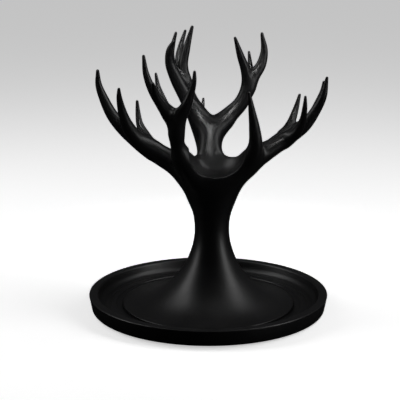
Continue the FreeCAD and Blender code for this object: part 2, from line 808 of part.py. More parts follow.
def make_trunk_loft():
    """The foot's edge, the flare, the waist and the crown, through level rings."""
    rings = [trunk_ring("FootRing", "0", "Sizes.foot_radius", SEAT)]
    for row, shares in enumerate(FLARE_SHARES):
        rings.append(trunk_ring("Flare%d" % row, *flare_rules(*shares)))
    for row, (lean, radius, height) in enumerate(CROWN_SHARES):
        rings.append(
            trunk_ring(
                "Crown%d" % row,
                "Sizes.trunk_lean * %g" % lean,
                "Sizes.waist_radius + (Sizes.crown_radius - Sizes.waist_radius) * %g" % radius,
                "%s + Sizes.waist_rise + (Sizes.crown_rise - Sizes.waist_rise) * %g" % (SEAT, height),
            )
        )
    return loft_of("TrunkLoft", rings)


def make_hollow():
    """The space inside the foot, less the core for the insert and the posts for the pins."""
    rings = [
        trunk_ring(
            "HollowMouth",
            "0",
            "Sizes.foot_radius - Sizes.foot_land",
            SEAT + " - Sizes.overrun",
            HOLLOW_SIDES,
        )
    ]
    for row, inwards, downwards in HOLLOW_SHARES:
        lean, radius, height = flare_rules(*FLARE_SHARES[row])
        rings.append(
            trunk_ring(
                "Hollow%d" % row,
                lean,
                radius + " - Sizes.foot_wall * %g" % inwards,
                height + " - Sizes.foot_wall * %g" % downwards,
                HOLLOW_SIDES,
            )
        )
    hollow = loft_of("FootHollow", rings)
    inside = "Sizes.waist_rise"
    core = cylinder("FootCore", "Sizes.core_radius", inside)
    bind_base(core, "0", "0", HUB_TOP)
    posts = [core]
    for side, sign in (("Left", "-"), ("Right", "+")):
        post = cylinder("PegPost" + side, "Sizes.peg_post_radius", inside)
        bind_base(post, "Sizes.trunk_lean %s Sizes.peg_offset" % sign, "0", SEAT)
        posts.append(post)
    return combined("FootSpace", "Part::Cut", hollow, joined("FootPosts", posts))


def make_foot_holes():
    """The insert's hole with room for the screw's point, and the two pin holes."""
    insert_hole = cylinder(
        "InsertHole",
        "Sizes.insert_radius + Sizes.fit_gap",
        "Sizes.insert_sink + Sizes.insert_length + Sizes.fit_gap",
    )
    bind_base(insert_hole, "0", "0", HUB_TOP)
    holes = [insert_hole]
    for side, sign in (("Left", "-"), ("Right", "+")):
        hole = cylinder(
            "PegSocket" + side,
            "Sizes.peg_radius + Sizes.fit_gap",
            "Sizes.peg_length - Sizes.peg_sink + Sizes.fit_gap",
        )
        bind_base(hole, "Sizes.trunk_lean %s Sizes.peg_offset" % sign, "0", SEAT)
        holes.append(hole)
    return joined("FootHoles", holes)


def make_bowl():
    """The rounded hollow in the crown, with its mouth run past the rim."""
    rim = "%s + Sizes.crown_rise" % SEAT
    lean = "Sizes.trunk_lean"
    rings = [trunk_ring("BowlTop", lean, "Sizes.bowl_radius", rim + " + Sizes.overrun", HOLLOW_SIDES)]
    for row, (radius, depth) in enumerate(BOWL_SHARES):
        rings.append(
            trunk_ring(
                "Bowl%d" % row,
                lean,
                "Sizes.bowl_radius * %g" % radius,
                "%s - Sizes.bowl_depth * %g" % (rim, depth),
                HOLLOW_SIDES,
            )
        )
    return loft_of("CrownBowl", rings)


def make_trunk(stubs, drills):
    """Foot, waist and crown with its bowl, and the roots of the limbs."""
    bowled = combined("TrunkBowled", "Part::Cut", make_trunk_loft(), make_bowl())
    solid = joined("TrunkJoined", [bowled] + stubs)
    solid = combined("TrunkHollow", "Part::Cut", solid, make_hollow())
    solid = combined("TrunkHoles", "Part::Cut", solid, make_foot_holes())
    for number, hole in enumerate(drills):
        solid = combined("TrunkDrilled%d" % number, "Part::Cut", solid, hole)
    solid.Label = "trunk"
    return solid


# The whole stand

left_hole = dowel_hole("LeftDrill", "heavy", LEFT_ROOT_SHARES, LEFT_OUTER_SHARES)
front_hole = dowel_hole("FrontDrill", "middle", FRONT_ROOT_SHARES, FRONT_OUTER_SHARES)
right_hole = dowel_hole("RightDrill", "heavy", RIGHT_ROOT_SHARES, RIGHT_OUTER_SHARES)
rear_hole = dowel_hole("RearDrill", "heavy", REAR_ROOT_SHARES, REAR_OUTER_SHARES)
rear_right_hole = dowel_hole(
    "RearRightDrill", "middle", REAR_RIGHT_ROOT_SHARES, REAR_RIGHT_OUTER_SHARES
)
back_hole = dowel_hole("BackDrill", "light", BACK_ROOT_SHARES, BACK_OUTER_SHARES)

pieces = [make_dish()]
pieces += [make_rubber_foot(label, angle) for label, angle in PAD_PLACES]
pieces += [make_screw(), make_washer(), make_insert()]
pieces += [make_peg("locating_pin_left", "-"), make_peg("locating_pin_right", "+")]
pieces.append(
    make_trunk(
        [
            root_stub("LeftRoot", LEFT_ROOT_SHARES, LEFT_OUTER_SHARES),
            root_stub("FrontRoot", FRONT_ROOT_SHARES, FRONT_OUTER_SHARES),
            root_stub("RightRoot", RIGHT_ROOT_SHARES, RIGHT_OUTER_SHARES),
            root_stub("RearRoot", REAR_ROOT_SHARES, REAR_OUTER_SHARES),
            strand("CrownWeb", CROWN_WEB_SHARES, sides=LIMB_SIDES),
        ],
        [left_hole, front_hole, right_hole, rear_hole],
    )
)
pieces.append(
    make_limb(
        "left_limb",
        LEFT_ROOT_SHARES,
        LEFT_OUTER_SHARES,
        [LEFT_FRONT_SHARES, LEFT_BACK_SHARES],
        [left_hole],
    )
)
pieces.append(
    make_limb(
        "front_limb",
        FRONT_ROOT_SHARES,
        FRONT_OUTER_SHARES,
        [FRONT_INNER_SHARES, FRONT_NEAR_SHARES, FRONT_FAR_SHARES],
        [front_hole],
    )
)
pieces.append(
    make_limb(
        "right_limb",
        RIGHT_ROOT_SHARES,
        RIGHT_OUTER_SHARES,
        [RIGHT_SPIKE_SHARES, RIGHT_FRONT_SHARES, RIGHT_BACK_SHARES, RIGHT_FAR_SHARES],
        [right_hole],
    )
)
pieces.append(
    make_limb(
        "rear_left_limb",
        REAR_ROOT_SHARES,
        REAR_OUTER_SHARES,
        [REAR_LEFT_SHARES, REAR_MIDDLE_SHARES, REAR_FAR_SHARES],
        [rear_hole, rear_right_hole, back_hole],
        [
            root_stub("RearRightRoot", REAR_RIGHT_ROOT_SHARES, REAR_RIGHT_OUTER_SHARES),
            root_stub("BackRoot", BACK_ROOT_SHARES, BACK_OUTER_SHARES),
        ],
    )
)
pieces.append(
    make_limb(
        "rear_right_limb",
        REAR_RIGHT_ROOT_SHARES,
        REAR_RIGHT_OUTER_SHARES,
        [REAR_RIGHT_INNER_SHARES, REAR_RIGHT_FAR_SHARES],
        [rear_right_hole],
    )
)
pieces.append(
    make_limb(
        "back_limb", BACK_ROOT_SHARES, BACK_OUTER_SHARES, [BACK_INNER_SHARES], [back_hole]
    )
)
pieces += [
    make_dowel("left_limb_dowel", "heavy", LEFT_ROOT_SHARES, LEFT_OUTER_SHARES),
    make_dowel("front_limb_dowel", "middle", FRONT_ROOT_SHARES, FRONT_OUTER_SHARES),
    make_dowel("right_limb_dowel", "heavy", RIGHT_ROOT_SHARES, RIGHT_OUTER_SHARES),
    make_dowel("rear_left_limb_dowel", "heavy", REAR_ROOT_SHARES, REAR_OUTER_SHARES),
    make_dowel("rear_right_limb_dowel", "middle", REAR_RIGHT_ROOT_SHARES, REAR_RIGHT_OUTER_SHARES),
    make_dowel("back_limb_dowel", "light", BACK_ROOT_SHARES, BACK_OUTER_SHARES),
]

doc.recompute()

broken = [item.Label for item in doc.Objects if {"Invalid", "Error"} & set(item.State)]
if broken:
    raise RuntimeError("failed objects: " + ", ".join(broken))
for piece in pieces:
    shape = piece.Shape
    if shape.isNull() or not shape.isValid() or len(shape.Solids) != 1:
        raise RuntimeError("%s is not one sound solid (%d)" % (piece.Label, len(shape.Solids)))

os.makedirs("parts", exist_ok=True)
for piece in pieces:
    piece.Shape.exportStep("parts/%s.step" % piece.Label)
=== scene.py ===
import math

import bmesh
import bpy
import numpy as np
from mathutils import Matrix, Vector


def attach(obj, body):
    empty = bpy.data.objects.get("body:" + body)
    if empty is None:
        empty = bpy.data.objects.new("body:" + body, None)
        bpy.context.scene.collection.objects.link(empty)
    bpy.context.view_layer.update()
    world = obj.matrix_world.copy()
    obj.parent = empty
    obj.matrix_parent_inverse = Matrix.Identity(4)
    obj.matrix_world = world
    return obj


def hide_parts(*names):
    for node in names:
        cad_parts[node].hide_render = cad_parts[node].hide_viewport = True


# Antler-tree jewelry stand in satin black. A cast tree, its limbs dowelled on and its seams filled
# and lacquered over, stands in a shallow turned dish with a raised rim.

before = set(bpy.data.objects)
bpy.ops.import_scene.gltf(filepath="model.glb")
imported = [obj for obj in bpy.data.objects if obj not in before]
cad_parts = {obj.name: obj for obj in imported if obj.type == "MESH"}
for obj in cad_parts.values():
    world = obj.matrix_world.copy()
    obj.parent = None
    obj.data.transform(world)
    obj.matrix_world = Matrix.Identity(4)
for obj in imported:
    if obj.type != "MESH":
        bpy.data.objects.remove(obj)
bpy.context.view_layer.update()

MM = 0.001


# Sizes, in millimetres

SEAT = 4.6
TABLE_GAP = 1.2
MEETING = (3.0, 0.0, 98.9)
LIMB_REACH = 100.0
LIMB_RISE = 134.0
LIMB_RADIUS = 15.0
TRUNK_LEAN = 3.0
WAIST_RADIUS = 14.35
FOOT_RADIUS = 72.0
CROWN_RADIUS = 23.2
WAIST_RISE = 63.3
CROWN_RISE = 108.5
FOOT_EDGE = 0.9

# The trunk's outline, as shares: shift of the middle, radius over the waist's, height.
FLARE_SHARES = (
    (0, 1, 0),
    (0.2, 0.844, 0.029),
    (0.53, 0.688, 0.077),
    (0.83, 0.532, 0.151),
    (0.93, 0.379, 0.253),
    (0.97, 0.247, 0.38),
    (1, 0.147, 0.52),
    (1, 0.07, 0.68),
    (1, 0.02, 0.84),
)
CROWN_SHARES = (
    (1, 0, 0),
    (1, 0.06, 0.2),
    (1.15, 0.25, 0.42),
    (1.25, 0.53, 0.62),
    (1.2, 0.8, 0.79),
    (1, 1, 0.93),
    (1, 1.1, 1.05),
)

# Middle lines of the limbs: x and y as shares of the reach and z of the rise, from the place
# where the limbs meet, and the radius as a share of a root's radius.
LEFT_ROOT = ((-0.01, 0, 0, 0.85), (-0.15, 0.005, 0.097, 0.79), (-0.29, 0.015, 0.179, 0.64))
LEFT_OUTER = (
    (-0.44, 0.03, 0.246, 0.56),
    (-0.58, 0.05, 0.312, 0.49),
    (-0.71, 0.075, 0.383, 0.39),
    (-0.813, 0.095, 0.469, 0.33),
    (-0.885, 0.1, 0.574, 0.26),
    (-0.928, 0.1, 0.667, 0.18),
    (-0.933, 0.09, 0.75, 0.09),
)
LEFT_FRONT = (
    (-0.49, 0.035, 0.267, 0.46),
    (-0.61, -0.005, 0.343, 0.4),
    (-0.693, -0.07, 0.445, 0.32),
    (-0.733, -0.12, 0.554, 0.21),
    (-0.745, -0.16, 0.633, 0.13),
    (-0.745, -0.17, 0.668, 0.08),
)
LEFT_BACK = (
    (-0.48, 0.05, 0.264, 0.41),
    (-0.55, 0.13, 0.338, 0.31),
    (-0.6, 0.18, 0.412, 0.2),
    (-0.616, 0.21, 0.49, 0.13),
    (-0.621, 0.22, 0.548, 0.08),
)
FRONT_ROOT = (
    (-0.02, -0.01, 0.007, 0.77),
    (-0.11, -0.12, 0.106, 0.73),
    (-0.212, -0.25, 0.227, 0.61),
)
FRONT_OUTER = (
    (-0.275, -0.34, 0.355, 0.39),
    (-0.291, -0.39, 0.46, 0.345),
    (-0.338, -0.405, 0.546, 0.35),
    (-0.41, -0.415, 0.619, 0.29),
    (-0.47, -0.425, 0.693, 0.23),
    (-0.514, -0.435, 0.782, 0.17),
    (-0.533, -0.44, 0.888, 0.08),
)
FRONT_INNER = (
    (-0.285, -0.375, 0.43, 0.3),
    (-0.25, -0.42, 0.535, 0.34),
    (-0.203, -0.45, 0.61, 0.27),
    (-0.166, -0.465, 0.685, 0.19),
    (-0.143, -0.485, 0.756, 0.12),
    (-0.141, -0.49, 0.802, 0.08),
)
FRONT_NEAR = (
    (-0.335, -0.4, 0.535, 0.31),
    (-0.4, -0.5, 0.611, 0.25),
    (-0.442, -0.57, 0.686, 0.17),
    (-0.455, -0.61, 0.747, 0.08),
)
FRONT_FAR = (
    (-0.345, -0.4, 0.55, 0.28),
    (-0.398, -0.31, 0.631, 0.2),
    (-0.43, -0.265, 0.697, 0.13),
    (-0.447, -0.24, 0.766, 0.07),
)
RIGHT_ROOT = ((-0.01, 0, 0, 0.93), (0.11, -0.09, 0.094, 0.85), (0.24, -0.13, 0.185, 0.7))
RIGHT_OUTER = (
    (0.365, -0.12, 0.252, 0.59),
    (0.5, -0.09, 0.309, 0.48),
    (0.635, -0.055, 0.367, 0.4),
    (0.75, -0.05, 0.432, 0.34),
    (0.83, -0.06, 0.518, 0.28),
    (0.89, -0.08, 0.613, 0.21),
    (0.918, -0.09, 0.726, 0.08),
)
RIGHT_SPIKE = (
    (0.275, -0.155, 0.214, 0.52),
    (0.32, -0.205, 0.265, 0.5),
    (0.343, -0.25, 0.339, 0.39),
    (0.332, -0.285, 0.452, 0.29),
    (0.31, -0.31, 0.553, 0.19),
    (0.286, -0.33, 0.662, 0.08),
)
RIGHT_FRONT = (
    (0.59, -0.07, 0.337, 0.35),
    (0.675, -0.13, 0.398, 0.28),
    (0.72, -0.19, 0.48, 0.19),
    (0.733, -0.235, 0.57, 0.13),
    (0.734, -0.25, 0.631, 0.07),
)
RIGHT_BACK = (
    (0.4, -0.07, 0.261, 0.38),
    (0.5, 0.05, 0.305, 0.35),
    (0.6, 0.165, 0.352, 0.3),
    (0.66, 0.25, 0.407, 0.24),
    (0.702, 0.3, 0.485, 0.17),
    (0.736, 0.33, 0.575, 0.08),
)
RIGHT_FAR = (
    (0.59, 0.16, 0.349, 0.27),
    (0.72, 0.22, 0.389, 0.26),
    (0.83, 0.25, 0.456, 0.24),
    (0.89, 0.27, 0.541, 0.19),
    (0.922, 0.28, 0.608, 0.13),
    (0.932, 0.28, 0.662, 0.08),
)
CROWN_WEB = (
    (-0.24, -0.28, 0.27, 0.34),
    (-0.19, -0.1, 0.232, 0.43),
    (-0.15, 0.0, 0.154, 0.62),
    (-0.01, 0.05, 0.163, 0.7),
    (0.13, -0.02, 0.169, 0.66),
    (0.24, -0.1, 0.195, 0.55),
)
REAR_ROOT = ((-0.01, 0.01, -0.007, 0.85), (-0.005, 0.068, 0.104, 0.88), (-0.002, 0.1, 0.174, 0.69))
REAR_OUTER = (
    (-0.015, 0.145, 0.248, 0.65),
    (-0.02, 0.21, 0.329, 0.62),
    (-0.09, 0.3, 0.429, 0.5),
    (-0.177, 0.38, 0.536, 0.4),
    (-0.227, 0.44, 0.651, 0.36),
    (-0.24, 0.46, 0.748, 0.27),
    (-0.213, 0.475, 0.852, 0.21),
    (-0.165, 0.49, 0.986, 0.09),
)
REAR_LEFT = (
    (-0.06, 0.26, 0.387, 0.32),
    (-0.15, 0.29, 0.481, 0.44),
    (-0.232, 0.305, 0.586, 0.39),
    (-0.302, 0.3, 0.69, 0.35),
    (-0.35, 0.275, 0.787, 0.26),
    (-0.347, 0.245, 0.87, 0.17),
    (-0.318, 0.23, 0.917, 0.08),
)
REAR_MIDDLE = (
    (-0.215, 0.44, 0.644, 0.31),
    (-0.26, 0.505, 0.717, 0.24),
    (-0.282, 0.555, 0.784, 0.19),
    (-0.261, 0.595, 0.865, 0.15),
    (-0.225, 0.63, 0.951, 0.08),
)
REAR_FAR = (
    (-0.21, 0.37, 0.599, 0.27),
    (-0.305, 0.42, 0.704, 0.23),
    (-0.34, 0.49, 0.807, 0.17),
    (-0.323, 0.535, 0.889, 0.12),
    (-0.303, 0.55, 0.944, 0.08),
)
REAR_RIGHT_ROOT = ((0, 0.22, 0.297, 0.3), (0.035, 0.26, 0.367, 0.44), (0.143, 0.315, 0.446, 0.46))
REAR_WEB = (
    (-0.09, 0.28, 0.408, 0.36),
    (-0.02, 0.25, 0.378, 0.44),
    (0.045, 0.255, 0.378, 0.44),
    (0.105, 0.285, 0.408, 0.36),
)
REAR_RIGHT_OUTER = (
    (0.24, 0.34, 0.517, 0.41),
    (0.302, 0.355, 0.605, 0.39),
    (0.35, 0.375, 0.685, 0.35),
    (0.415, 0.4, 0.76, 0.28),
    (0.439, 0.415, 0.835, 0.21),
    (0.419, 0.42, 0.949, 0.09),
)
REAR_RIGHT_INNER = (
    (0.305, 0.357, 0.62, 0.32),
    (0.28, 0.33, 0.731, 0.27),
    (0.235, 0.3, 0.828, 0.2),
    (0.19, 0.27, 0.935, 0.08),
)
REAR_RIGHT_FAR = (
    (0.335, 0.38, 0.659, 0.24),
    (0.325, 0.44, 0.744, 0.15),
    (0.314, 0.48, 0.83, 0.07),
)
BACK_ROOT = (
    (-0.025, 0.14, 0.223, 0.53),
    (-0.055, 0.21, 0.267, 0.47),
    (-0.095, 0.31, 0.331, 0.41),
    (-0.135, 0.41, 0.387, 0.36),
    (-0.155, 0.465, 0.412, 0.33),
)
BACK_OUTER = (
    (-0.18, 0.53, 0.443, 0.3),
    (-0.22, 0.66, 0.521, 0.23),
    (-0.245, 0.76, 0.69, 0.08),
)
BACK_INNER = (
    (-0.16, 0.5, 0.431, 0.25),
    (-0.11, 0.56, 0.433, 0.19),
    (-0.08, 0.615, 0.457, 0.13),
    (-0.07, 0.665, 0.511, 0.07),
)

# Every strand with the width, in millimetres, over which it flows into what it grows from.
STRANDS = (
    (LEFT_ROOT + LEFT_OUTER, 13.5),
    (FRONT_ROOT + FRONT_OUTER, 13.5),
    (RIGHT_ROOT + RIGHT_OUTER, 13.5),
    (REAR_ROOT + REAR_OUTER, 13.5),
    (CROWN_WEB, 12),
    (REAR_RIGHT_ROOT + REAR_RIGHT_OUTER, 12),
    (REAR_WEB, 12),
    (BACK_ROOT + BACK_OUTER, 6),
    (LEFT_FRONT, 6),
    (LEFT_BACK, 4.5),
    (FRONT_INNER, 10.5),
    (FRONT_NEAR, 4.5),
    (FRONT_FAR, 4.5),
    (RIGHT_SPIKE, 9),
    (RIGHT_FRONT, 4.5),
    (RIGHT_BACK, 6),
    (RIGHT_FAR, 3.75),
    (REAR_LEFT, 9),
    (REAR_MIDDLE, 4.5),
    (REAR_FAR, 4.5),
    (REAR_RIGHT_INNER, 6),
    (REAR_RIGHT_FAR, 3.75),
    (BACK_INNER, 3.75),
)

# Seams: the limb, its root rows, its outer rows, and how far past the joint the filler ends.
SEAMS = (
    ("left_limb", LEFT_ROOT, LEFT_OUTER, 7.0),
    ("front_limb", FRONT_ROOT, FRONT_OUTER, 5.0),
    ("right_limb", RIGHT_ROOT, RIGHT_OUTER, 0.0),
    ("rear_left_limb", REAR_ROOT, REAR_OUTER, 9.0),
    ("rear_right_limb", REAR_RIGHT_ROOT, REAR_RIGHT_OUTER, 5.0),
    ("back_limb", BACK_ROOT, BACK_OUTER, 0.0),
)

# The bowl in the crown: an egg shape, its middle and its half sizes.
BOWL_MIDDLE = (6.3, -24.0, 138.0)
BOWL_HALF = (23.0, 27.5, 20.3)

# What changes from front to back, each over a stretch of y: how far the crown's top rises to the
# bowl's front lip, and how wide the roundings of the crown's top and of the bowl's edge are.
LIP_LIFT = 6.0
LIP_CHANGE = ((-18.0, 4.0), (LIP_LIFT, 0.0))
CROWN_EDGE_CHANGE = ((-14.0, 8.0), (4.5, 18.0))
BOWL_EDGE_CHANGE = ((-20.0, -2.0), (1.2, 13.0))
CROWN_TOP = SEAT + CROWN_RISE

# The tree is found on a grid down to the join, and the flare below it is turned. The crown and the
# bowl need some room round them, and a seam's cut reaches some way past the limb's own radius. The
# tree's normals start one band above the join.
JOIN_HEIGHT = 60.0
JOIN_BAND = 0.5
VOXEL = 0.8
CROWN_ROOM_SHARE = 1.3
BOWL_ROOM_SHARE = 1.5
BOWL_CHANGE_SHARE = 2.0
SEAM_REACH_SHARE = 1.9
RING_GAP = 1.1
SOLE_WIDTH = 8.0
SOLE_EDGE_TURNS = (35, 90, 145, 180)
FAR = 1e3
HAIR = 1e-3
LEAST_STEEPNESS = 0.1


# Implicit tree. A field holds, for each point, the distance to a surface, negative inside, and
# where it has four columns also the slope of that distance. All of it is in millimetres.

def place(row):
    """A limb row in millimetres: x, y, z and radius."""
    x, y, z, radius = row
    return (
        MEETING[0] + x * LIMB_REACH,
        MEETING[1] + y * LIMB_REACH,
        MEETING[2] + z * LIMB_RISE,
        radius * LIMB_RADIUS,
    )


def smooth_through(knots, gaps, spots):
    """Rows on a smooth curve through the knots, at places measured along its straight runs."""
    along = np.concatenate([[0], np.cumsum(gaps)])
    slopes = np.diff(knots, axis=0) / gaps[:, None]
    tangents = np.empty_like(knots)
    tangents[0] = slopes[0]
    tangents[-1] = slopes[-1]
    before, after = gaps[:-1, None], gaps[1:, None]
    tangents[1:-1] = (slopes[:-1] * after + slopes[1:] * before) / (before + after)
    i = np.clip(np.searchsorted(along, spots, side="right") - 1, 0, len(gaps) - 1)
    t = ((spots - along[i]) / gaps[i])[:, None]
    gap = gaps[i][:, None]
    lead_in = (1 + 2 * t) * (1 - t) ** 2 * knots[i] + t * (1 - t) ** 2 * gap * tangents[i]
    return lead_in + t ** 2 * (3 - 2 * t) * knots[i + 1] + t ** 2 * (t - 1) * gap * tangents[i + 1]


def smooth_line(rows, step=1.5):
    """Points x, y, z, radius about one step apart on a smooth curve through a limb's rows."""
    knots = np.array([place(row) for row in rows], float)
    gaps = np.linalg.norm(np.diff(knots[:, :3], axis=0), axis=1)
    count = int(round(gaps.sum() / step)) + 1
    return smooth_through(knots, gaps, np.linspace(0, gaps.sum(), count))


def stretches_of(line, width, count=6):
    """Short stretches of a line, each with the box outside which it changes nothing."""
    stretches = []
    for first in range(0, len(line) - 1, count):
        part = line[first:first + count + 1]
        reach = part[:, 3:] + width + 2 * VOXEL
        stretches.append((part, (part[:, :3] - reach).min(0), (part[:, :3] + reach).max(0)))
    return stretches


def strand_field(points, stretches, sloped):
    """The field of a tapering strand."""
    best = np.full(len(points), FAR)
    gaps = np.zeros((len(points), 3)) if sloped else None
    for part, low, high in stretches:
        near = np.flatnonzero(((points > low) & (points < high)).all(axis=1))
        if not len(near):
            continue
        some = points[near]
        nearest = best[near]
        for start, end in zip(part[:-1], part[1:]):
            run = end[:3] - start[:3]
            t = np.clip((some - start[:3]) @ run / (run @ run), 0, 1)
            gap = some - start[:3] - t[:, None] * run
            value = np.sqrt(np.einsum("ij,ij->i", gap, gap)) - start[3] - t * (end[3] - start[3])
            closer = np.flatnonzero(value < nearest)
            nearest[closer] = value[closer]
            if sloped:
                gaps[near[closer]] = gap[closer]
        best[near] = nearest
    if not sloped:
        return best[:, None]
    size = np.linalg.norm(gaps, axis=1)
    return np.concatenate([best[:, None], gaps / np.maximum(size, 1e-9)[:, None]], axis=1)


def blended(a, b, width):
    """The field of two bodies joined, rounded over a width where they meet."""
    gap = a[:, :1] - b[:, :1]
    bend = np.maximum(width - np.abs(gap), 0) / width
    share = np.where(gap > 0, 1 - bend ** 2 / 2, bend ** 2 / 2)
    field = a * (1 - share) + b * share
    field[:, :1] = np.minimum(a[:, :1], b[:, :1]) - bend ** 3 * width / 6
    return field


def carved(a, b, width):
    """The field of a with b taken out, its edge rounded over a width."""
    return -blended(-a, b, width)


def sloping(distance, points, sloped, step=0.02):
    """A plain distance function as a field, its slope measured over small steps."""
    columns = [distance(points)]
    if sloped:
        for axis in range(3):
            shift = np.zeros(3)
            shift[axis] = step
            columns.append((distance(points + shift) - distance(points - shift)) / (2 * step))
    return np.stack(columns, axis=1)


def smooth_profile(count=400):
    """The trunk's outline at many even steps: height, radius and shift of the middle."""
    low = SEAT + FOOT_EDGE
    rise = WAIST_RISE - FOOT_EDGE
    top = CROWN_RISE - WAIST_RISE
    rows = []
    for lean, radius, height in FLARE_SHARES:
        wide = WAIST_RADIUS + (FOOT_RADIUS - WAIST_RADIUS) * radius
        rows.append((low + rise * height, wide, TRUNK_LEAN * lean))
    for lean, radius, height in CROWN_SHARES:
        wide = WAIST_RADIUS + (CROWN_RADIUS - WAIST_RADIUS) * radius
        rows.append((SEAT + WAIST_RISE + top * height, wide, TRUNK_LEAN * lean))
    knots = np.array(rows)
    gaps = np.hypot(np.diff(knots[:, 0]), np.diff(knots[:, 1]))
    return smooth_through(knots, gaps, np.linspace(0, gaps.sum(), count))


PROFILE = smooth_profile()
STEEPNESS = np.sqrt(1 + np.gradient(PROFILE[:, 1], PROFILE[:, 0]) ** 2)


def trunk_side(points):
    height = points[:, 2]
    radius, lean, steepness = (
        np.interp(height, PROFILE[:, 0], column) for column in (PROFILE[:, 1], PROFILE[:, 2], STEEPNESS)
    )
    return (np.hypot(points[:, 0] - lean, points[:, 1]) - radius) / steepness


def front_to_back(points, change):
    """A value that changes over a stretch of y."""
    return np.interp(points[:, 1], *change)


def above_crown(points):
    """How far a point lies below the crown's top, which rises to the bowl's front lip."""
    return CROWN_TOP + front_to_back(points, LIP_CHANGE) - points[:, 2]


def bowl_distance(points):
    scaled = (points - BOWL_MIDDLE) / BOWL_HALF
    size = np.maximum(np.linalg.norm(scaled, axis=1), 1e-6)
    return (size - 1) * size / np.maximum(np.linalg.norm(scaled / BOWL_HALF, axis=1), 1e-6)


def trunk_field(points, sloped):
    """The trunk: crisp at the crown's top in front, with a soft shoulder behind."""
    side = sloping(trunk_side, points, sloped)
    top = sloping(above_crown, points, sloped)
    return carved(side, top, front_to_back(points, CROWN_EDGE_CHANGE)[:, None])


def with_strand(field, points, strand, sloped):
    """The field with a strand grown out of it."""
    stretches, width = strand
    return blended(field, strand_field(points, stretches, sloped), width)


def with_bowl(field, points, sloped):
    """The field less the bowl: crisp at its front lip, soft where it runs into the rear limb."""
    bowl = sloping(bowl_distance, points, sloped)
    return carved(field, bowl, front_to_back(points, BOWL_EDGE_CHANGE)[:, None])


def reach_of(stretches):
    """The box that holds all of a strand's stretches."""
    low = np.min([low for part, low, high in stretches], axis=0)
    high = np.max([high for part, low, high in stretches], axis=0)
    return low, high


GROWN = [(stretches_of(smooth_line(rows), width), width) for rows, width in STRANDS]


def tree_field(points):
    """The field of the whole tree above the foot, with every fork rounded."""
    field = trunk_field(points, True)
    for strand in GROWN:
        low, high = reach_of(strand[0])
        near = np.flatnonzero(((points > low) & (points < high)).all(axis=1))
        field[near] = with_strand(field[near], points[near], strand, True)
    near = np.flatnonzero(np.linalg.norm(points - BOWL_MIDDLE, axis=1) < BOWL_CHANGE_SHARE * max(BOWL_HALF))
    field[near] = with_bowl(field[near], points[near], True)
    return field


def settled(points):
    """Points moved onto the tree's surface."""
    field = tree_field(points)
    slope = field[:, 1:]
    steep = np.maximum(np.einsum("ij,ij->i", slope, slope), LEAST_STEEPNESS)
    return points - slope * (field[:, 0] / steep)[:, None]


def fill_pinches(values):
    """Fills a corner of each grid face whose corners alternate, where the net would pinch."""
    pinched = True
    while pinched:
        pinched = False
        for sideways, upwards in ((0, 1), (0, 2), (1, 2)):
            steps = np.zeros((4, 3), int)
            steps[1:3, sideways] = 1
            steps[2:, upwards] = 1
            size = np.array(values.shape) - steps[2]
            inside = values < 0
            here, right, across, up = (
                inside[tuple(slice(a, a + n) for a, n in zip(step, size))] for step in steps
            )
            for spot in np.argwhere((here == across) & (right == up) & (here != right)):
                corners = [tuple(spot + step) for step in steps]
                outside = [corner for corner in corners if values[corner] >= 0]
                if len(outside) == 2:
                    values[min(outside, key=lambda corner: values[corner])] = -HAIR
                pinched = True


def net_of(values, low, pitch):
    """Vertices and quads of the surface where a grid of values changes sign."""
    inside = values < 0
    shape = np.array(values.shape) - 1
    corner = [(i, j, k) for i in (0, 1) for j in (0, 1) for k in (0, 1)]
    total = np.zeros(shape, np.uint8)
    for i, j, k in corner:
        total += inside[i:i + shape[0], j:j + shape[1], k:k + shape[2]]
    cells = np.argwhere((total > 0) & (total < 8))
    at = [values[cells[:, 0] + i, cells[:, 1] + j, cells[:, 2] + k] for i, j, k in corner]
    spot = np.zeros((len(cells), 3))
    count = np.zeros(len(cells))
    for a, here in enumerate(corner):
        for axis in range(3):
            if here[axis]:
                continue
            b = a + (4, 2, 1)[axis]
            cross = (at[a] < 0) != (at[b] < 0)
            t = np.where(cross, at[a] / np.where(cross, at[a] - at[b], 1), 0)
            for side in range(3):
                spot[:, side] += np.where(cross, here[side] + (t if side == axis else 0), 0)
            count += cross
    vertices = low + (cells + spot / count[:, None]) * pitch
    number = np.full(shape, -1, np.int64)
    number[tuple(cells.T)] = np.arange(len(cells))
    quads = []
    for axis in range(3):
        u, v = (axis + 1) % 3, (axis + 2) % 3
        changes = np.diff(inside.astype(np.int8), axis=axis)
        edges = np.argwhere(changes != 0)
        across = edges[:, [u, v]]
        edges = edges[((across > 0) & (across < shape[[u, v]])).all(axis=1)]
        ring = []
        for du, dv in ((-1, -1), (0, -1), (0, 0), (-1, 0)):
            cell = edges.copy()
            cell[:, u] += du
            cell[:, v] += dv
            ring.append(number[tuple(cell.T)])
        ring = np.stack(ring, axis=1)
        outward = inside[tuple(edges.T)]
        quads.append(np.where(outward[:, None], ring, ring[:, ::-1]))
    return vertices, np.concatenate(quads)


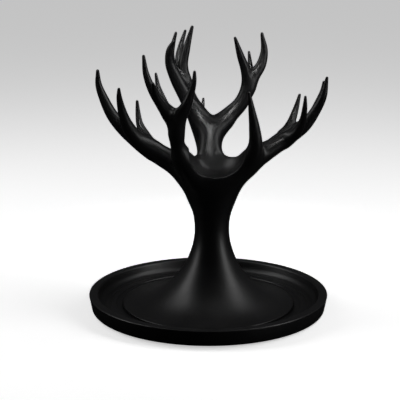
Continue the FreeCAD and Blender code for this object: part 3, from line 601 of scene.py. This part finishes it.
def tree_grid(pitch):
    """The tree's distance on a grid over everything above the join with the flare."""
    reaches = [reach_of(stretches) for stretches, width in GROWN]
    low = np.min([low for low, high in reaches], axis=0)
    high = np.max([high for low, high in reaches], axis=0)
    low[2] = JOIN_HEIGHT - 3 * pitch
    counts = np.ceil((high - low) / pitch).astype(int) + 1
    axes = [low[i] + pitch * np.arange(counts[i]) for i in range(3)]
    values = np.full(counts, FAR, np.float32)

    def change(lo, hi, changed):
        cut = tuple(slice(*np.searchsorted(axes[i], (lo[i], hi[i]))) for i in range(3))
        points = np.stack(np.meshgrid(*[axes[i][cut[i]] for i in range(3)], indexing="ij"), axis=-1)
        field = changed(values[cut].reshape(-1, 1), points.reshape(-1, 3))
        values[cut] = field.reshape(values[cut].shape)

    wide = CROWN_RADIUS * CROWN_ROOM_SHARE
    corners = ((TRUNK_LEAN - wide, -wide, low[2]), (TRUNK_LEAN + wide, wide, CROWN_TOP + 2 * LIP_LIFT))
    change(*corners, lambda before, points: trunk_field(points, False))
    for reach, strand in zip(reaches, GROWN):
        change(*reach, lambda before, points: with_strand(before, points, strand, False))
    middle, half = np.array(BOWL_MIDDLE), BOWL_ROOM_SHARE * np.array(BOWL_HALF)
    change(middle - half, middle + half, lambda before, points: with_bowl(before, points, False))
    return values, low


def evened(vertices, quads, rounds=3):
    """The net with its vertices spread more evenly over the surface."""
    pairs = np.concatenate([quads[:, [i, (i + 1) % 4]] for i in range(4)])
    pairs = np.concatenate([pairs, pairs[:, ::-1]])
    count = np.bincount(pairs[:, 0], minlength=len(vertices)).astype(float)
    for _ in range(rounds):
        sums = [np.bincount(pairs[:, 0], vertices[pairs[:, 1], i], len(vertices)) for i in range(3)]
        vertices = settled(np.stack(sums, axis=1) / count[:, None])
    return vertices


def build_tree():
    values, low = tree_grid(VOXEL)
    fill_pinches(values)
    vertices, quads = net_of(values, low, VOXEL)
    vertices = evened(settled(vertices), quads)
    return settled(vertices), quads


# Parting the tree at its seams

def seam_of(root, outer, shift):
    """A seam's middle, its direction and the reach of its cut."""
    before, at, after = (np.array(place(row)) for row in (root[-2], root[-1], outer[0]))
    heading = after[:3] - before[:3]
    heading /= np.linalg.norm(heading)
    return Vector(at[:3] + shift * heading), Vector(heading), at[3] * SEAM_REACH_SHARE


def nearest_loop(edges, middle):
    """Of the closed loops among some edges, the one that lies nearest a point."""
    left = set(edges)
    loops = []
    while left:
        chain = [left.pop()]
        for edge in chain:
            for v in edge.verts:
                for other in v.link_edges:
                    if other in left:
                        left.remove(other)
                        chain.append(other)
        ends = {v for edge in chain for v in edge.verts}
        if len(ends) == len(chain):
            spot = sum((v.co for v in ends), Vector()) / len(ends)
            loops.append(((spot - middle).length, len(loops), chain))
    return min(loops)[2]


def flare_rings(ring):
    """Rings of the flare below a cut ring of the trunk, from the join down to the foot's edge."""
    angles = np.arctan2(ring[:, 1], ring[:, 0] - TRUNK_LEAN)
    rows = []
    below = PROFILE[PROFILE[:, 0] < JOIN_HEIGHT][::-1]
    gap = 0
    for before, row in zip(below[:-1], below[1:]):
        gap += math.hypot(*(row - before)[:2])
        if gap >= RING_GAP or row[0] == below[-1][0]:
            rows.append(row)
            gap = 0
    soft = FOOT_EDGE / 2
    for turn in SOLE_EDGE_TURNS:
        a = math.radians(turn)
        rows.append((SEAT + soft + soft * math.cos(a), FOOT_RADIUS - soft + soft * math.sin(a), 0.0))
    rows.append((SEAT, FOOT_RADIUS - SOLE_WIDTH, 0.0))
    rings = []
    for height, radius, lean in rows:
        level = np.full(len(angles), height)
        rings.append(np.stack([lean + radius * np.cos(angles), radius * np.sin(angles), level], axis=1))
    return rings


def mesh_object(name, bm):
    mesh = bpy.data.meshes.new(name)
    bm.to_mesh(mesh)
    bm.free()
    piece = bpy.data.objects.new(name, mesh)
    bpy.context.scene.collection.objects.link(piece)
    return piece


def islands_of(bm):
    """Faces in groups that hang together."""
    seen = set()
    groups = []
    for start in bm.faces:
        if start in seen:
            continue
        seen.add(start)
        group = [start]
        for face in group:
            for other in (other for edge in face.edges for other in edge.link_faces):
                if other not in seen:
                    seen.add(other)
                    group.append(other)
        groups.append(group)
    return groups


def ring_in_order(ring):
    """The vertices of the cut at the join in order round the trunk, and their places."""
    order = [ring[0]]
    while len(order) < len(ring):
        for edge in order[-1].link_edges:
            other = edge.other_vert(order[-1])
            if edge.is_boundary and other not in order[-2:]:
                order.append(other)
                break
    spots = np.array([v.co[:] for v in order])
    turn = np.arctan2(spots[:, 1], spots[:, 0] - TRUNK_LEAN)
    if np.sum(np.sin(np.diff(turn))) < 0:
        order.reverse()
        spots = spots[::-1]
    return order, spots


def add_flare(bm):
    """Cuts the tree off level at the join and adds the flare below, down to a closed sole."""
    cut = bmesh.ops.bisect_plane(
        bm, geom=bm.verts[:] + bm.edges[:] + bm.faces[:],
        plane_co=(0, 0, JOIN_HEIGHT), plane_no=(0, 0, -1), clear_outer=True,
    )
    ring = [item for item in cut["geom_cut"] if isinstance(item, bmesh.types.BMVert)]
    above, spots = ring_in_order(ring)
    for row in flare_rings(spots):
        below = [bm.verts.new(spot) for spot in row]
        for i in range(len(above)):
            j = (i + 1) % len(above)
            bm.faces.new((above[i], below[i], below[j], above[j]))
        above = below
    bm.faces.new(above[::-1])
    bm.normal_update()


def part_at_seams(bm):
    """Cuts each limb off at its seam."""
    for name, *seam in SEAMS:
        middle, heading, reach = seam_of(*seam)
        near = [f for f in bm.faces if (f.calc_center_median() - middle).length < reach]
        edges = list(dict.fromkeys(e for f in near for e in f.edges))
        verts = list(dict.fromkeys(v for f in near for v in f.verts))
        cut = bmesh.ops.bisect_plane(bm, geom=verts + edges + near, plane_co=middle, plane_no=heading)
        split = [item for item in cut["geom_cut"] if isinstance(item, bmesh.types.BMEdge)]
        bmesh.ops.split_edges(bm, edges=nearest_loop(split, middle))


def limb_names(bm, groups):
    """Each limb's name by its group's number: the group with the face just beyond the seam."""
    for number, group in enumerate(groups):
        for face in group:
            face.index = number
    names = {}
    for name, *seam in SEAMS:
        middle, heading, reach = seam_of(*seam)
        beyond = (f for f in bm.faces if (f.calc_center_median() - middle).dot(heading) > HAIR)
        ahead = middle + heading
        nearest = min(beyond, key=lambda f: (f.calc_center_median() - ahead).length)
        names[nearest.index] = name
    return names


def skin_of(name, group):
    """A group of faces as a piece of its own, its seams capped flat."""
    part = bmesh.new()
    table = {}
    for face in group:
        for v in face.verts:
            if v not in table:
                table[v] = part.verts.new(v.co)
        part.faces.new([table[v] for v in face.verts]).smooth = True
    skin = set(part.faces)
    bmesh.ops.holes_fill(part, edges=[e for e in part.edges if e.is_boundary], sides=0)
    part.normal_update()
    cap_marks = [face not in skin for face in part.faces]
    spots = np.array([v.co[:] for v in part.verts])
    piece = mesh_object(name + "_skin", part)
    set_normals(piece, spots, cap_marks)
    piece.data.transform(Matrix.Scale(MM, 4))
    return piece


def make_tree():
    """The tree as one mesh, parted at the seams into the trunk and its limbs."""
    vertices, quads = build_tree()
    bm = bmesh.new()
    points = [bm.verts.new(v) for v in vertices]
    for quad in quads:
        bm.faces.new([points[i] for i in quad])
    bm.normal_update()
    add_flare(bm)
    part_at_seams(bm)
    groups = islands_of(bm)
    names = limb_names(bm, groups)
    pieces = {}
    for number, group in enumerate(groups):
        name = names.get(number, "trunk")
        pieces[name] = skin_of(name, group)
    return pieces


def set_normals(piece, spots, cap_marks):
    """Gives the skin the tree's own normals, so that it shades on across a filled seam."""
    mesh = piece.data
    above = spots[:, 2] > JOIN_HEIGHT + JOIN_BAND
    direction = np.array([v.normal[:] for v in mesh.vertices])
    slope = tree_field(spots[above])[:, 1:]
    direction[above] = slope / np.linalg.norm(slope, axis=1)[:, None]
    loops = []
    for face in mesh.polygons:
        for loop in face.loop_indices:
            normal = face.normal if cap_marks[face.index] else direction[mesh.loops[loop].vertex_index]
            loops.append(tuple(normal))
    mesh.normals_split_custom_set(loops)


tree = make_tree()
for name, piece in tree.items():
    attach(piece, "root")
    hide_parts(name)


# Dish: a turned outline, with the recesses of its rubber feet

DISH_RADIUS = 100.0
RIM_HEIGHT = 13.4
RIM_TOP = TABLE_GAP + RIM_HEIGHT
FLOOR_THICKNESS = 4.0
FLOOR_TOP = TABLE_GAP + FLOOR_THICKNESS
COVE = 5.5
COVE_INSET = 13.7
INNER_EDGE = 1.6
INNER_EDGE_INSET = 6.0
OUTER_EDGE = 0.8
BASE_EDGE = 2.4
BASE_EDGE_INSET = 4.4
LINE_RADIUS = 83.0
LINE_MOUTH = 0.3
LINE_BED = 0.12
LINE_DEPTH = 0.13
SEAT_RADIUS = 77.3
SEAT_EDGE = 0.15
SEAT_CORNER = 0.12
HUB_RADIUS = 14.0
HUB_TOP = 9.0
HUB_EDGE = 0.35
SCREW_HOLE = 3.3
POCKET_RADIUS = 9.0
POCKET_DEPTH = 5.0
POCKET_TOP = TABLE_GAP + POCKET_DEPTH
POCKET_EDGE = 0.3
PAD_RADIUS = 6.0
PAD_SINK = 1.2
PAD_CIRCLE = 80.0
PAD_EDGE = 0.35
PAD_GROOVE = 0.22
PAD_GROOVE_SHARES = ((0.52, 0), (0.56, 1), (0.66, 1), (0.7, 0))
PAD_COUNT = 4
FIRST_PAD = math.radians(45)
FIT_GAP = 0.15
CUT_OVERRUN = 1.0
SHARP_ANGLE = math.radians(50)
DISH_TURNS = 256
PAD_TURNS = 48


def arc(x, z, radius, start, end, step):
    """Points on a rounding; the angles are measured from straight up towards the rim."""
    count = max(2, int(abs(end - start) / step) + 1)
    angles = np.radians(np.linspace(start, end, count))
    return [(x + radius * math.sin(a), z + radius * math.cos(a)) for a in angles]


def dish_outline():
    """The dish's section, from the screw hole outwards over the rim and back underneath."""
    rows = [(SCREW_HOLE, HUB_TOP - HUB_EDGE)]
    rows += arc(SCREW_HOLE + HUB_EDGE, HUB_TOP - HUB_EDGE, HUB_EDGE, -60, 0, 30)
    rows += arc(HUB_RADIUS - HUB_EDGE, HUB_TOP - HUB_EDGE, HUB_EDGE, 0, 90, 30)
    rows += [(HUB_RADIUS, SEAT + HUB_EDGE), (HUB_RADIUS + HUB_EDGE, SEAT)]
    rows += [(SEAT_RADIUS - SEAT_CORNER, SEAT), (SEAT_RADIUS, SEAT + SEAT_CORNER)]
    rows += [(SEAT_RADIUS, FLOOR_TOP - SEAT_EDGE), (SEAT_RADIUS + SEAT_EDGE, FLOOR_TOP)]
    rows += [(LINE_RADIUS - LINE_MOUTH, FLOOR_TOP), (LINE_RADIUS - LINE_BED, FLOOR_TOP - LINE_DEPTH)]
    rows += [(LINE_RADIUS + LINE_BED, FLOOR_TOP - LINE_DEPTH), (LINE_RADIUS + LINE_MOUTH, FLOOR_TOP)]
    rows += arc(DISH_RADIUS - COVE_INSET, FLOOR_TOP + COVE, COVE, 180, 100, 4)
    rows += arc(DISH_RADIUS - INNER_EDGE_INSET, RIM_TOP - INNER_EDGE, INNER_EDGE, -80, 0, 10)
    rows += arc(DISH_RADIUS - OUTER_EDGE, RIM_TOP - OUTER_EDGE, OUTER_EDGE, 0, 90, 10)
    rows += arc(DISH_RADIUS - BASE_EDGE_INSET, TABLE_GAP + BASE_EDGE, BASE_EDGE, 105, 180, 6)
    rows += [(POCKET_RADIUS + POCKET_EDGE, TABLE_GAP), (POCKET_RADIUS, TABLE_GAP + POCKET_EDGE)]
    rows += [(POCKET_RADIUS, POCKET_TOP), (SCREW_HOLE, POCKET_TOP)]
    return rows


def turned(name, rows, turns, capped=False):
    """A section turned about the upright axis, closed on itself or by a cap at each end."""
    bm = bmesh.new()
    rings = []
    for radius, height in rows:
        ring = []
        for i in range(turns):
            a = 2 * math.pi * i / turns
            ring.append(bm.verts.new((radius * math.cos(a) * MM, radius * math.sin(a) * MM, height * MM)))
        rings.append(ring)
    walls = list(zip(rings, rings[1:]))
    if capped:
        bm.faces.new(rings[0])
        bm.faces.new(rings[-1])
    else:
        walls.append((rings[-1], rings[0]))
    for ring, after in walls:
        for i in range(turns):
            j = (i + 1) % turns
            bm.faces.new((ring[i], after[i], after[j], ring[j]))
    for face in bm.faces:
        face.smooth = True
    bmesh.ops.recalc_face_normals(bm, faces=bm.faces[:])
    return mesh_object(name, bm)


def disc(x, y, low, high, radius, turns=64):
    """A plain cylinder, for cutting."""
    bm = bmesh.new()
    bmesh.ops.create_cone(
        bm, cap_ends=True, segments=turns,
        radius1=radius * MM, radius2=radius * MM, depth=(high - low) * MM,
    )
    bmesh.ops.translate(bm, verts=bm.verts[:], vec=(x * MM, y * MM, (low + high) / 2 * MM))
    return mesh_object("cutter", bm)


def cut_by(piece, cutters):
    """The piece less its cutters, as a plain mesh."""
    for cutter in cutters:
        change = piece.modifiers.new("cut", "BOOLEAN")
        change.operation = "DIFFERENCE"
        change.solver = "EXACT"
        change.object = cutter
    graph = bpy.context.evaluated_depsgraph_get()
    mesh = bpy.data.meshes.new_from_object(piece.evaluated_get(graph))
    piece.modifiers.clear()
    piece.data = mesh
    for cutter in cutters:
        bpy.data.objects.remove(cutter)


def make_dish():
    dish = turned("dish_skin", dish_outline(), DISH_TURNS)
    cutters = []
    for number in range(PAD_COUNT):
        a = FIRST_PAD + 2 * math.pi * number / PAD_COUNT
        x, y = PAD_CIRCLE * math.cos(a), PAD_CIRCLE * math.sin(a)
        cutters.append(disc(x, y, TABLE_GAP - CUT_OVERRUN, TABLE_GAP + PAD_SINK, PAD_RADIUS + FIT_GAP))
    cut_by(dish, cutters)
    dish.data.set_sharp_from_angle(angle=SHARP_ANGLE)
    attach(dish, "root")
    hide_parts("dish")
    return dish


dish = make_dish()


# Nodes, for shapes and materials alike

def add(tree, kind, inputs=None, **settings):
    """Adds a node with its settings. Each input gets a value, or the output that feeds it."""
    node = tree.nodes.new(kind)
    for word, value in settings.items():
        setattr(node, word, value)
    for word, value in (inputs or {}).items():
        if isinstance(value, bpy.types.NodeSocket):
            tree.links.new(value, node.inputs[word])
        else:
            node.inputs[word].default_value = value
    return node


# Rubber feet: one turned pad, set on its circle by a node tree

def pad_outline():
    """A pad's section: a shallow groove round its sole and a soft lower edge."""
    rows = [(PAD_RADIUS * out, PAD_GROOVE * up) for out, up in PAD_GROOVE_SHARES]
    rows += arc(PAD_RADIUS - PAD_EDGE, PAD_EDGE, PAD_EDGE, 180, 90, 15)
    return rows + [(PAD_RADIUS, TABLE_GAP + PAD_SINK)]


def ring_of_pads():
    """Node tree: copies of a pad on a circle, made real and given their material."""
    tree = bpy.data.node_groups.new("ring_of_pads", "GeometryNodeTree")
    names = {}
    for word, kind, value in (
        ("Pad", "NodeSocketObject", None),
        ("Count", "NodeSocketInt", PAD_COUNT),
        ("Circle radius", "NodeSocketFloat", PAD_CIRCLE * MM),
        ("Finish", "NodeSocketMaterial", None),
    ):
        socket = tree.interface.new_socket(word, in_out="INPUT", socket_type=kind)
        if value is not None:
            socket.default_value = value
        names[word] = socket.identifier
    tree.interface.new_socket("Geometry", in_out="OUTPUT", socket_type="NodeSocketGeometry")
    given = add(tree, "NodeGroupInput").outputs
    circle = add(
        tree, "GeometryNodeMeshCircle", {"Vertices": given["Count"], "Radius": given["Circle radius"]}
    )
    turned_circle = add(
        tree, "GeometryNodeTransform", {"Geometry": circle.outputs["Mesh"], "Rotation": (0, 0, FIRST_PAD)}
    )
    pad = add(tree, "GeometryNodeObjectInfo", {"Object": given["Pad"]})
    copies = add(
        tree, "GeometryNodeInstanceOnPoints",
        {"Points": turned_circle.outputs["Geometry"], "Instance": pad.outputs["Geometry"]},
    )
    real = add(tree, "GeometryNodeRealizeInstances", {"Geometry": copies.outputs["Instances"]})
    finish = add(
        tree, "GeometryNodeSetMaterial", {"Geometry": real.outputs["Geometry"], "Material": given["Finish"]}
    )
    add(tree, "NodeGroupOutput", {"Geometry": finish.outputs["Geometry"]})
    return tree, names


def make_feet(material):
    pad = turned("pad", pad_outline(), PAD_TURNS, capped=True)
    feet = bpy.data.objects.new("feet_skin", bpy.data.meshes.new("feet_skin"))
    bpy.context.scene.collection.objects.link(feet)
    change = feet.modifiers.new("pads", "NODES")
    change.node_group, names = ring_of_pads()
    change[names["Pad"]] = pad
    change[names["Finish"]] = material
    bpy.context.view_layer.update()
    graph = bpy.context.evaluated_depsgraph_get()
    mesh = bpy.data.meshes.new_from_object(feet.evaluated_get(graph))
    feet.modifiers.clear()
    feet.data = mesh
    bpy.data.objects.remove(pad)
    mesh.set_sharp_from_angle(angle=SHARP_ANGLE)
    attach(feet, "root")
    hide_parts("foot_front_left", "foot_front_right", "foot_rear_left", "foot_rear_right")


# Materials

def linear(code):
    """A colour code as linear red, green, blue and alpha."""
    values = [int(code[i:i + 2], 16) / 255 for i in (1, 3, 5)]
    return tuple(v / 12.92 if v <= 0.04045 else ((v + 0.055) / 1.055) ** 2.4 for v in values) + (1.0,)


def blank_material(name):
    """A material with nothing in its tree, and that tree."""
    material = bpy.data.materials.new(name)
    material.use_nodes = True
    material.node_tree.nodes.clear()
    return material, material.node_tree


def waves(places, length, detail, rough=0.5):
    """Inputs of a noise whose features are about a length in millimetres across."""
    return {"Vector": places, "Scale": 1 / (length * MM), "Detail": detail, "Roughness": rough}


def change_of(value, low, high, start=0.3, stop=0.7):
    """Inputs of a map range that goes from low to high as a value goes from start to stop."""
    return {"Value": value, "From Min": start, "From Max": stop, "To Min": low, "To Max": high}


def blend_of(share, first, second):
    """Inputs of a colour mix, which goes from the first colour to the second."""
    return {0: share, 6: first, 7: second}


def relief(height, depth):
    """Inputs of a bump whose height from 0 to 1 stands for a depth in millimetres."""
    return {"Height": height, "Strength": 1.0, "Distance": depth * MM}


def satin_lacquer():
    """Sprayed black lacquer: deep black with soft wide highlights, faint orange peel and dust."""
    material, tree = blank_material("satin_black_lacquer")
    places = add(tree, "ShaderNodeTexCoord").outputs["Object"]
    drift, fine, specks, peel = (
        add(tree, "ShaderNodeTexNoise", waves(places, length, detail)).outputs[0]
        for length, detail in ((38, 3), (0.9, 2), (0.5, 1), (1.3, 2))
    )
    cloud = add(tree, "ShaderNodeMapRange", change_of(drift, 0, 1)).outputs[0]
    color = add(
        tree, "ShaderNodeMix", blend_of(cloud, linear("#111112"), linear("#151516")), data_type="RGBA"
    ).outputs[2]
    # Dust, lighter and duller, settles on what faces up.
    facing = add(tree, "ShaderNodeSeparateXYZ", {0: add(tree, "ShaderNodeNewGeometry").outputs["Normal"]})
    upward = add(tree, "ShaderNodeMapRange", change_of(facing.outputs["Z"], 0, 1, 0.75, 1.0))
    grains = add(tree, "ShaderNodeMapRange", change_of(specks, 0, 1, 0.66, 0.72))
    dust = add(tree, "ShaderNodeMath", {0: upward.outputs[0], 1: grains.outputs[0]}, operation="MULTIPLY")
    dusty = add(
        tree, "ShaderNodeMix", blend_of(dust.outputs[0], color, linear("#3a3937")), data_type="RGBA"
    ).outputs[2]
    dull = add(tree, "ShaderNodeMapRange", change_of(drift, 0.33, 0.42)).outputs[0]
    peeled = add(tree, "ShaderNodeBump", relief(peel, 0.012)).outputs[0]
    bumped = add(tree, "ShaderNodeBump", {**relief(fine, 0.003), "Normal": peeled}).outputs[0]
    shader = add(
        tree, "ShaderNodeBsdfPrincipled",
        {"Base Color": dusty, "Roughness": dull, "Normal": bumped, "IOR": 1.5},
    )
    add(tree, "ShaderNodeOutputMaterial", {"Surface": shader.outputs[0]})
    return material


def soft_rubber():
    """Moulded rubber: dull dark grey with a dry, slightly mottled skin."""
    material, tree = blank_material("moulded_rubber")
    places = add(tree, "ShaderNodeTexCoord").outputs["Object"]
    mottle, grain = (
        add(tree, "ShaderNodeTexNoise", waves(places, length, detail)).outputs[0]
        for length, detail in ((2.2, 3), (0.25, 2))
    )
    cloud = add(tree, "ShaderNodeMapRange", change_of(mottle, 0, 1)).outputs[0]
    color = add(
        tree, "ShaderNodeMix", blend_of(cloud, linear("#1d1d1c"), linear("#282726")), data_type="RGBA"
    ).outputs[2]
    dull = add(tree, "ShaderNodeMapRange", change_of(mottle, 0.78, 0.9)).outputs[0]
    bumped = add(tree, "ShaderNodeBump", relief(grain, 0.01)).outputs[0]
    shader = add(
        tree, "ShaderNodeBsdfPrincipled", {"Base Color": color, "Roughness": dull, "Normal": bumped}
    )
    add(tree, "ShaderNodeOutputMaterial", {"Surface": shader.outputs[0]})
    return material


def worked_metal(name, dark, light, low, high, stretch):
    """Bare metal with fine marks from grinding or turning, which draw its highlights out."""
    material, tree = blank_material(name)
    places = add(tree, "ShaderNodeTexCoord").outputs["Object"]
    drawn_out = add(tree, "ShaderNodeMapping", {"Vector": places, "Scale": stretch}).outputs["Vector"]
    marks = add(tree, "ShaderNodeTexNoise", waves(drawn_out, 0.12, 3, 0.6)).outputs[0]
    drift = add(tree, "ShaderNodeTexNoise", waves(places, 3, 2)).outputs[0]
    cloud = add(tree, "ShaderNodeMapRange", change_of(drift, 0, 1)).outputs[0]
    color = add(
        tree, "ShaderNodeMix", blend_of(cloud, linear(dark), linear(light)), data_type="RGBA"
    ).outputs[2]
    dull = add(tree, "ShaderNodeMapRange", change_of(marks, low, high)).outputs[0]
    bumped = add(tree, "ShaderNodeBump", relief(marks, 0.004)).outputs[0]
    shader = add(
        tree, "ShaderNodeBsdfPrincipled",
        {"Base Color": color, "Roughness": dull, "Normal": bumped, "Metallic": 1.0},
    )
    add(tree, "ShaderNodeOutputMaterial", {"Surface": shader.outputs[0]})
    return material


black = satin_lacquer()
rubber = soft_rubber()
ground_steel = worked_metal("ground_steel", "#8f9294", "#a6a9ab", 0.28, 0.42, (1, 1, 0.06))
brushed_steel = worked_metal("brushed_steel", "#9a9c9e", "#b6b8ba", 0.24, 0.38, (0.1, 1, 1))
brass = worked_metal("turned_brass", "#b08d4c", "#c9a765", 0.22, 0.34, (1, 1, 0.08))

for piece in list(tree.values()) + [dish]:
    piece.data.materials.clear()
    piece.data.materials.append(black)
make_feet(rubber)

finishes = {"tree_screw": brushed_steel, "screw_washer": brushed_steel, "threaded_insert": brass}
for name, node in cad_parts.items():
    finish = finishes.get(name, black)
    if name.endswith("_dowel") or name.startswith("locating_pin"):
        finish = ground_steel
    if name.startswith("foot_"):
        finish = rubber
    node.data.materials.clear()
    node.data.materials.append(finish)


# Floor, light and camera

FLOOR_RADIUS = 9.0
LIGHT_MIDDLE = Vector((0, 0, 0.1))
LIGHT_REACH = 1.1
CROWN_LAMP_GAP = 0.18
PHOTO_WIDTH = 400
FOCAL_PIXELS = 1207
CAMERA_TILT = math.radians(13.8)
CAMERA_PLACE = Vector((-6.9, -970.8, 331.8))


def make_floor():
    """A plain pale floor. The lacquer sees it darker than the camera does, as a stand that is
    lit from the sides against a dim room."""
    bm = bmesh.new()
    bmesh.ops.create_circle(bm, cap_ends=True, radius=FLOOR_RADIUS, segments=96)
    floor = mesh_object("floor", bm)
    material, tree = blank_material("pale_floor")
    seen = add(tree, "ShaderNodeLightPath").outputs["Is Camera Ray"]
    dim = add(tree, "ShaderNodeBsdfDiffuse", {"Color": linear("#1c1c1c")}).outputs[0]
    pale = add(tree, "ShaderNodeBsdfDiffuse", {"Color": (1.3, 1.3, 1.3, 1)}).outputs[0]
    glow = add(tree, "ShaderNodeEmission", {"Color": linear("#f4f4f4"), "Strength": 0.58}).outputs[0]
    lit = add(tree, "ShaderNodeAddShader", {0: pale, 1: glow}).outputs[0]
    surface = add(tree, "ShaderNodeMixShader", {0: seen, 1: dim, 2: lit}).outputs[0]
    add(tree, "ShaderNodeOutputMaterial", {"Surface": surface})
    floor.data.materials.append(material)


def spot_at(turn, rise):
    """A place round the stand: degrees from behind it towards the right, and above level."""
    turn, rise = math.radians(turn), math.radians(rise)
    way = Vector((math.sin(turn) * math.cos(rise), math.cos(turn) * math.cos(rise), math.sin(rise)))
    return LIGHT_MIDDLE + way * LIGHT_REACH


def lamp(name, low, high, width, power, target=LIGHT_MIDDLE, spread=180):
    """A soft strip lamp between two places; a small spread stands for a grid on it."""
    facing = ((low + high) / 2 - Vector(target)).normalized()
    tall = (high - low) - (high - low).dot(facing) * facing
    light = bpy.data.lights.new(name, "AREA")
    light.shape = "RECTANGLE"
    light.size = width
    light.size_y = tall.length
    light.energy = power
    light.spread = math.radians(spread)
    holder = bpy.data.objects.new(name, light)
    holder.location = (low + high) / 2
    upright = tall.normalized()
    holder.rotation_euler = Matrix((upright.cross(facing), upright, facing)).transposed().to_euler()
    bpy.context.scene.collection.objects.link(holder)


def make_light():
    """Soft strips left and right that lean over the back, one overhead, three small ones with
    grids for the inside of the crown."""
    lamp("left_strip", spot_at(-98, 6), spot_at(-50, 60), width=0.35, power=3.0)
    lamp("right_strip", spot_at(122, -8), spot_at(58, 62), width=0.3, power=4.0)
    lamp("top_softbox", Vector((0, -0.1, 1.5)), Vector((0, 0.4, 1.5)), width=0.7, power=0.5)
    for word, side in (("left", -CROWN_LAMP_GAP), ("middle", 0), ("right", CROWN_LAMP_GAP)):
        lamp(
            "crown_" + word, Vector((side, -0.49, 0.8)), Vector((side, -0.57, 0.72)),
            width=0.16, power=0.013, target=(0, 0.04, 0.18), spread=11,
        )


def make_room():
    """The room: pale for the camera; for the lacquer dark in front and paler behind the stand."""
    world = bpy.context.scene.world or bpy.data.worlds.new("world")
    bpy.context.scene.world = world
    world.use_nodes = True
    tree = world.node_tree
    spot = add(tree, "ShaderNodeTexCoord").outputs["Generated"]
    depth = add(tree, "ShaderNodeSeparateXYZ", {0: spot}).outputs["Y"]
    behind = add(
        tree, "ShaderNodeMapRange", {"Value": depth, "From Min": -0.1, "From Max": 0.8},
        interpolation_type="SMOOTHSTEP",
    ).outputs[0]
    room = add(
        tree, "ShaderNodeMix", blend_of(behind, linear("#101011"), linear("#343435")), data_type="RGBA"
    ).outputs[2]
    seen = add(tree, "ShaderNodeLightPath").outputs["Is Camera Ray"]
    shade = add(tree, "ShaderNodeMix", blend_of(seen, room, linear("#e8e8e8")), data_type="RGBA").outputs[2]
    tree.links.new(shade, tree.nodes["Background"].inputs["Color"])


def make_camera():
    """The photograph's camera: 13.8 degrees down, from about a metre away."""
    data = bpy.data.cameras.new("camera")
    data.sensor_width = 36
    data.lens = FOCAL_PIXELS / PHOTO_WIDTH * data.sensor_width
    camera = bpy.data.objects.new("camera", data)
    camera.location = CAMERA_PLACE * MM
    camera.rotation_euler = (math.radians(90) - CAMERA_TILT, 0, 0)
    bpy.context.scene.collection.objects.link(camera)
    bpy.context.scene.camera = camera
    bpy.context.scene.view_settings.view_transform = "Standard"


make_floor()
make_light()
make_room()
make_camera()
